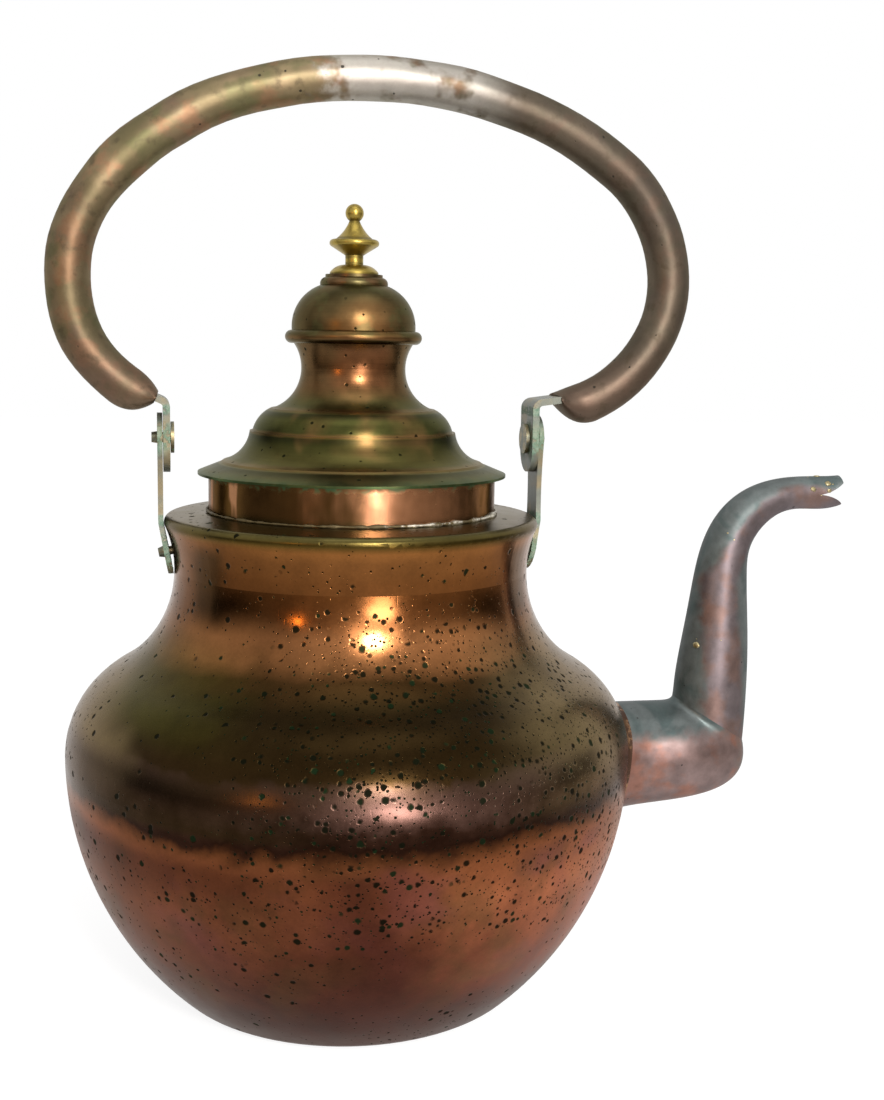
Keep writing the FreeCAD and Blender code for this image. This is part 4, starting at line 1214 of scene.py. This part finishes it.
@dataclass
class Hinges:
    """Straps, rivets and pivots with verdigris in their joints."""

    grain: float = 0.55 * MM
    density: int = 260000
    foot: Point = (77.5, 0.0, 184.0)
    foot_reach: float = 11 * MM

    def build(self, nodes: dict[str, Object]) -> None:
        """Dress the solids and scatter the crust.

        Args:
            nodes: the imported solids, by name.
        """
        strap = WeatheredStrip("strap_metal", ((234.0, 8.5), (187.0, 11.0), (201.0, 3.0))).material()
        rivet = RivetMetal().material()
        for name in ("strap_left", "strap_right"):
            dress(nodes[name], strap)
        for name in ("strap_rivets", "strap_roves", "pivot_rivet_left", "pivot_rivet_right"):
            dress(nodes[name], rivet)
        spatter = Spatter(Crust().material())
        x, y, z = self.foot
        for name, side, seed in (("strap_left", -1, 5), ("strap_right", 1, 8)):
            foot = patch(nodes[name], name + "_foot", at(side * x, y, z), self.foot_reach)
            crust = spatter.scatter(name + "_crust", foot, self.grain, self.density, seed)
            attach(crust, "pot")
            LOG.info("scattered %s", crust.name)


@dataclass
class Bail:
    """Hand-bent grip with its kinks, and the tangs in its ends."""

    middle: Point = (10.8, 0.0, 300.8)
    kinks: tuple[tuple[float, float], ...] = (
        (-40, 0.0), (-20, 0.0), (-5, 0.6), (15, -0.6), (35, 0.4), (60, -0.5), (95, -0.5), (118, 0.5),
        (138, 1.8), (150, 0.8), (163, -1.7), (178, -0.6), (193, 1.1), (205, 0.0), (225, 0.0))
    ends: tuple[float, float] = (-66.0, 244.0)
    ease: float = 22.0
    dent: float = 0.35 * MM
    dent_seed: int = 7
    dent_pitch: float = 38.0
    ripple_pitch: float = 95.0
    ripple: float = 0.3

    def build(self, nodes: dict[str, Object]) -> None:
        """Make the grip and dress the tangs.

        Args:
            nodes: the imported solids, by name.
        """
        grip = self.grip(nodes["bail_tube"])
        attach(grip, "bail")
        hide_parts("bail_tube")
        LOG.info("bent %s", grip.name)
        tang = WeatheredStrip("tang_metal", ((234.0, 9.0), (246.0, 2.5))).material()
        for name in ("bail_tang_left", "bail_tang_right"):
            dress(nodes[name], tang)

    def kink(self, angle: float) -> float:
        """Shift of the loop away from its even curve.

        Args:
            angle: degrees round the loop's middle, from the spout's side over the crown.

        Returns:
            Metres outwards.
        """
        for (first, low), (last, high) in zip(self.kinks, self.kinks[1:]):
            if first <= angle < last:
                share = (angle - first) / (last - first)
                return (low + (high - low) * share * share * (3 - 2 * share)) * MM
        return 0.0

    def grip(self, tube: Object) -> Object:
        """Bend and dent a copy of the even tube.

        Args:
            tube: the solid.

        Returns:
            The piece.
        """
        mesh = merged_copy(tube, "bail_grip")
        first, last = self.ends
        noise.seed_set(self.dent_seed)
        for vertex in mesh.vertices:
            arm = Vector((vertex.co.x, 0, vertex.co.z)) - at(*self.middle)
            angle = math.degrees(math.atan2(arm.z, arm.x))
            angle = angle + 360 if angle < -90 else angle
            free = min(1.0, max(0, (angle - first) / self.ease), max(0, (last - angle) / self.ease))
            dent = noise.noise_vector(vertex.co * self.dent_pitch)
            dent = dent + noise.noise_vector(vertex.co * self.ripple_pitch) * self.ripple
            vertex.co += (arm.normalized() * self.kink(angle) + dent * self.dent) * free
        mesh.shade_smooth()
        mesh.materials.append(HandledCopper().material())
        return add_piece("bail_grip", mesh)


@dataclass
class Lid:
    """Stepped lid with its dome and turned knob."""

    def build(self, nodes: dict[str, Object]) -> None:
        """Dress the solids.

        Args:
            nodes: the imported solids, by name.
        """
        spun = SpunCopper().material()
        for name in ("lid_cover", "lid_dome", "lid_flange"):
            dress(nodes[name], spun)
        dress(nodes["finial"], TurnedBrass().material())
        dress(nodes["finial_rove"], RivetMetal("rove_copper").material())


def main() -> None:
    """Build the studio, then the pot from its base to its knob."""
    logging.basicConfig(level=logging.INFO, format="%(message)s")
    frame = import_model()
    nodes = frame["nodes"]
    Studio().build()
    for part in (Pot(), Spout(), Hinges(), Bail(), Lid()):
        part.build(nodes)


if __name__ == "__main__":
    main()
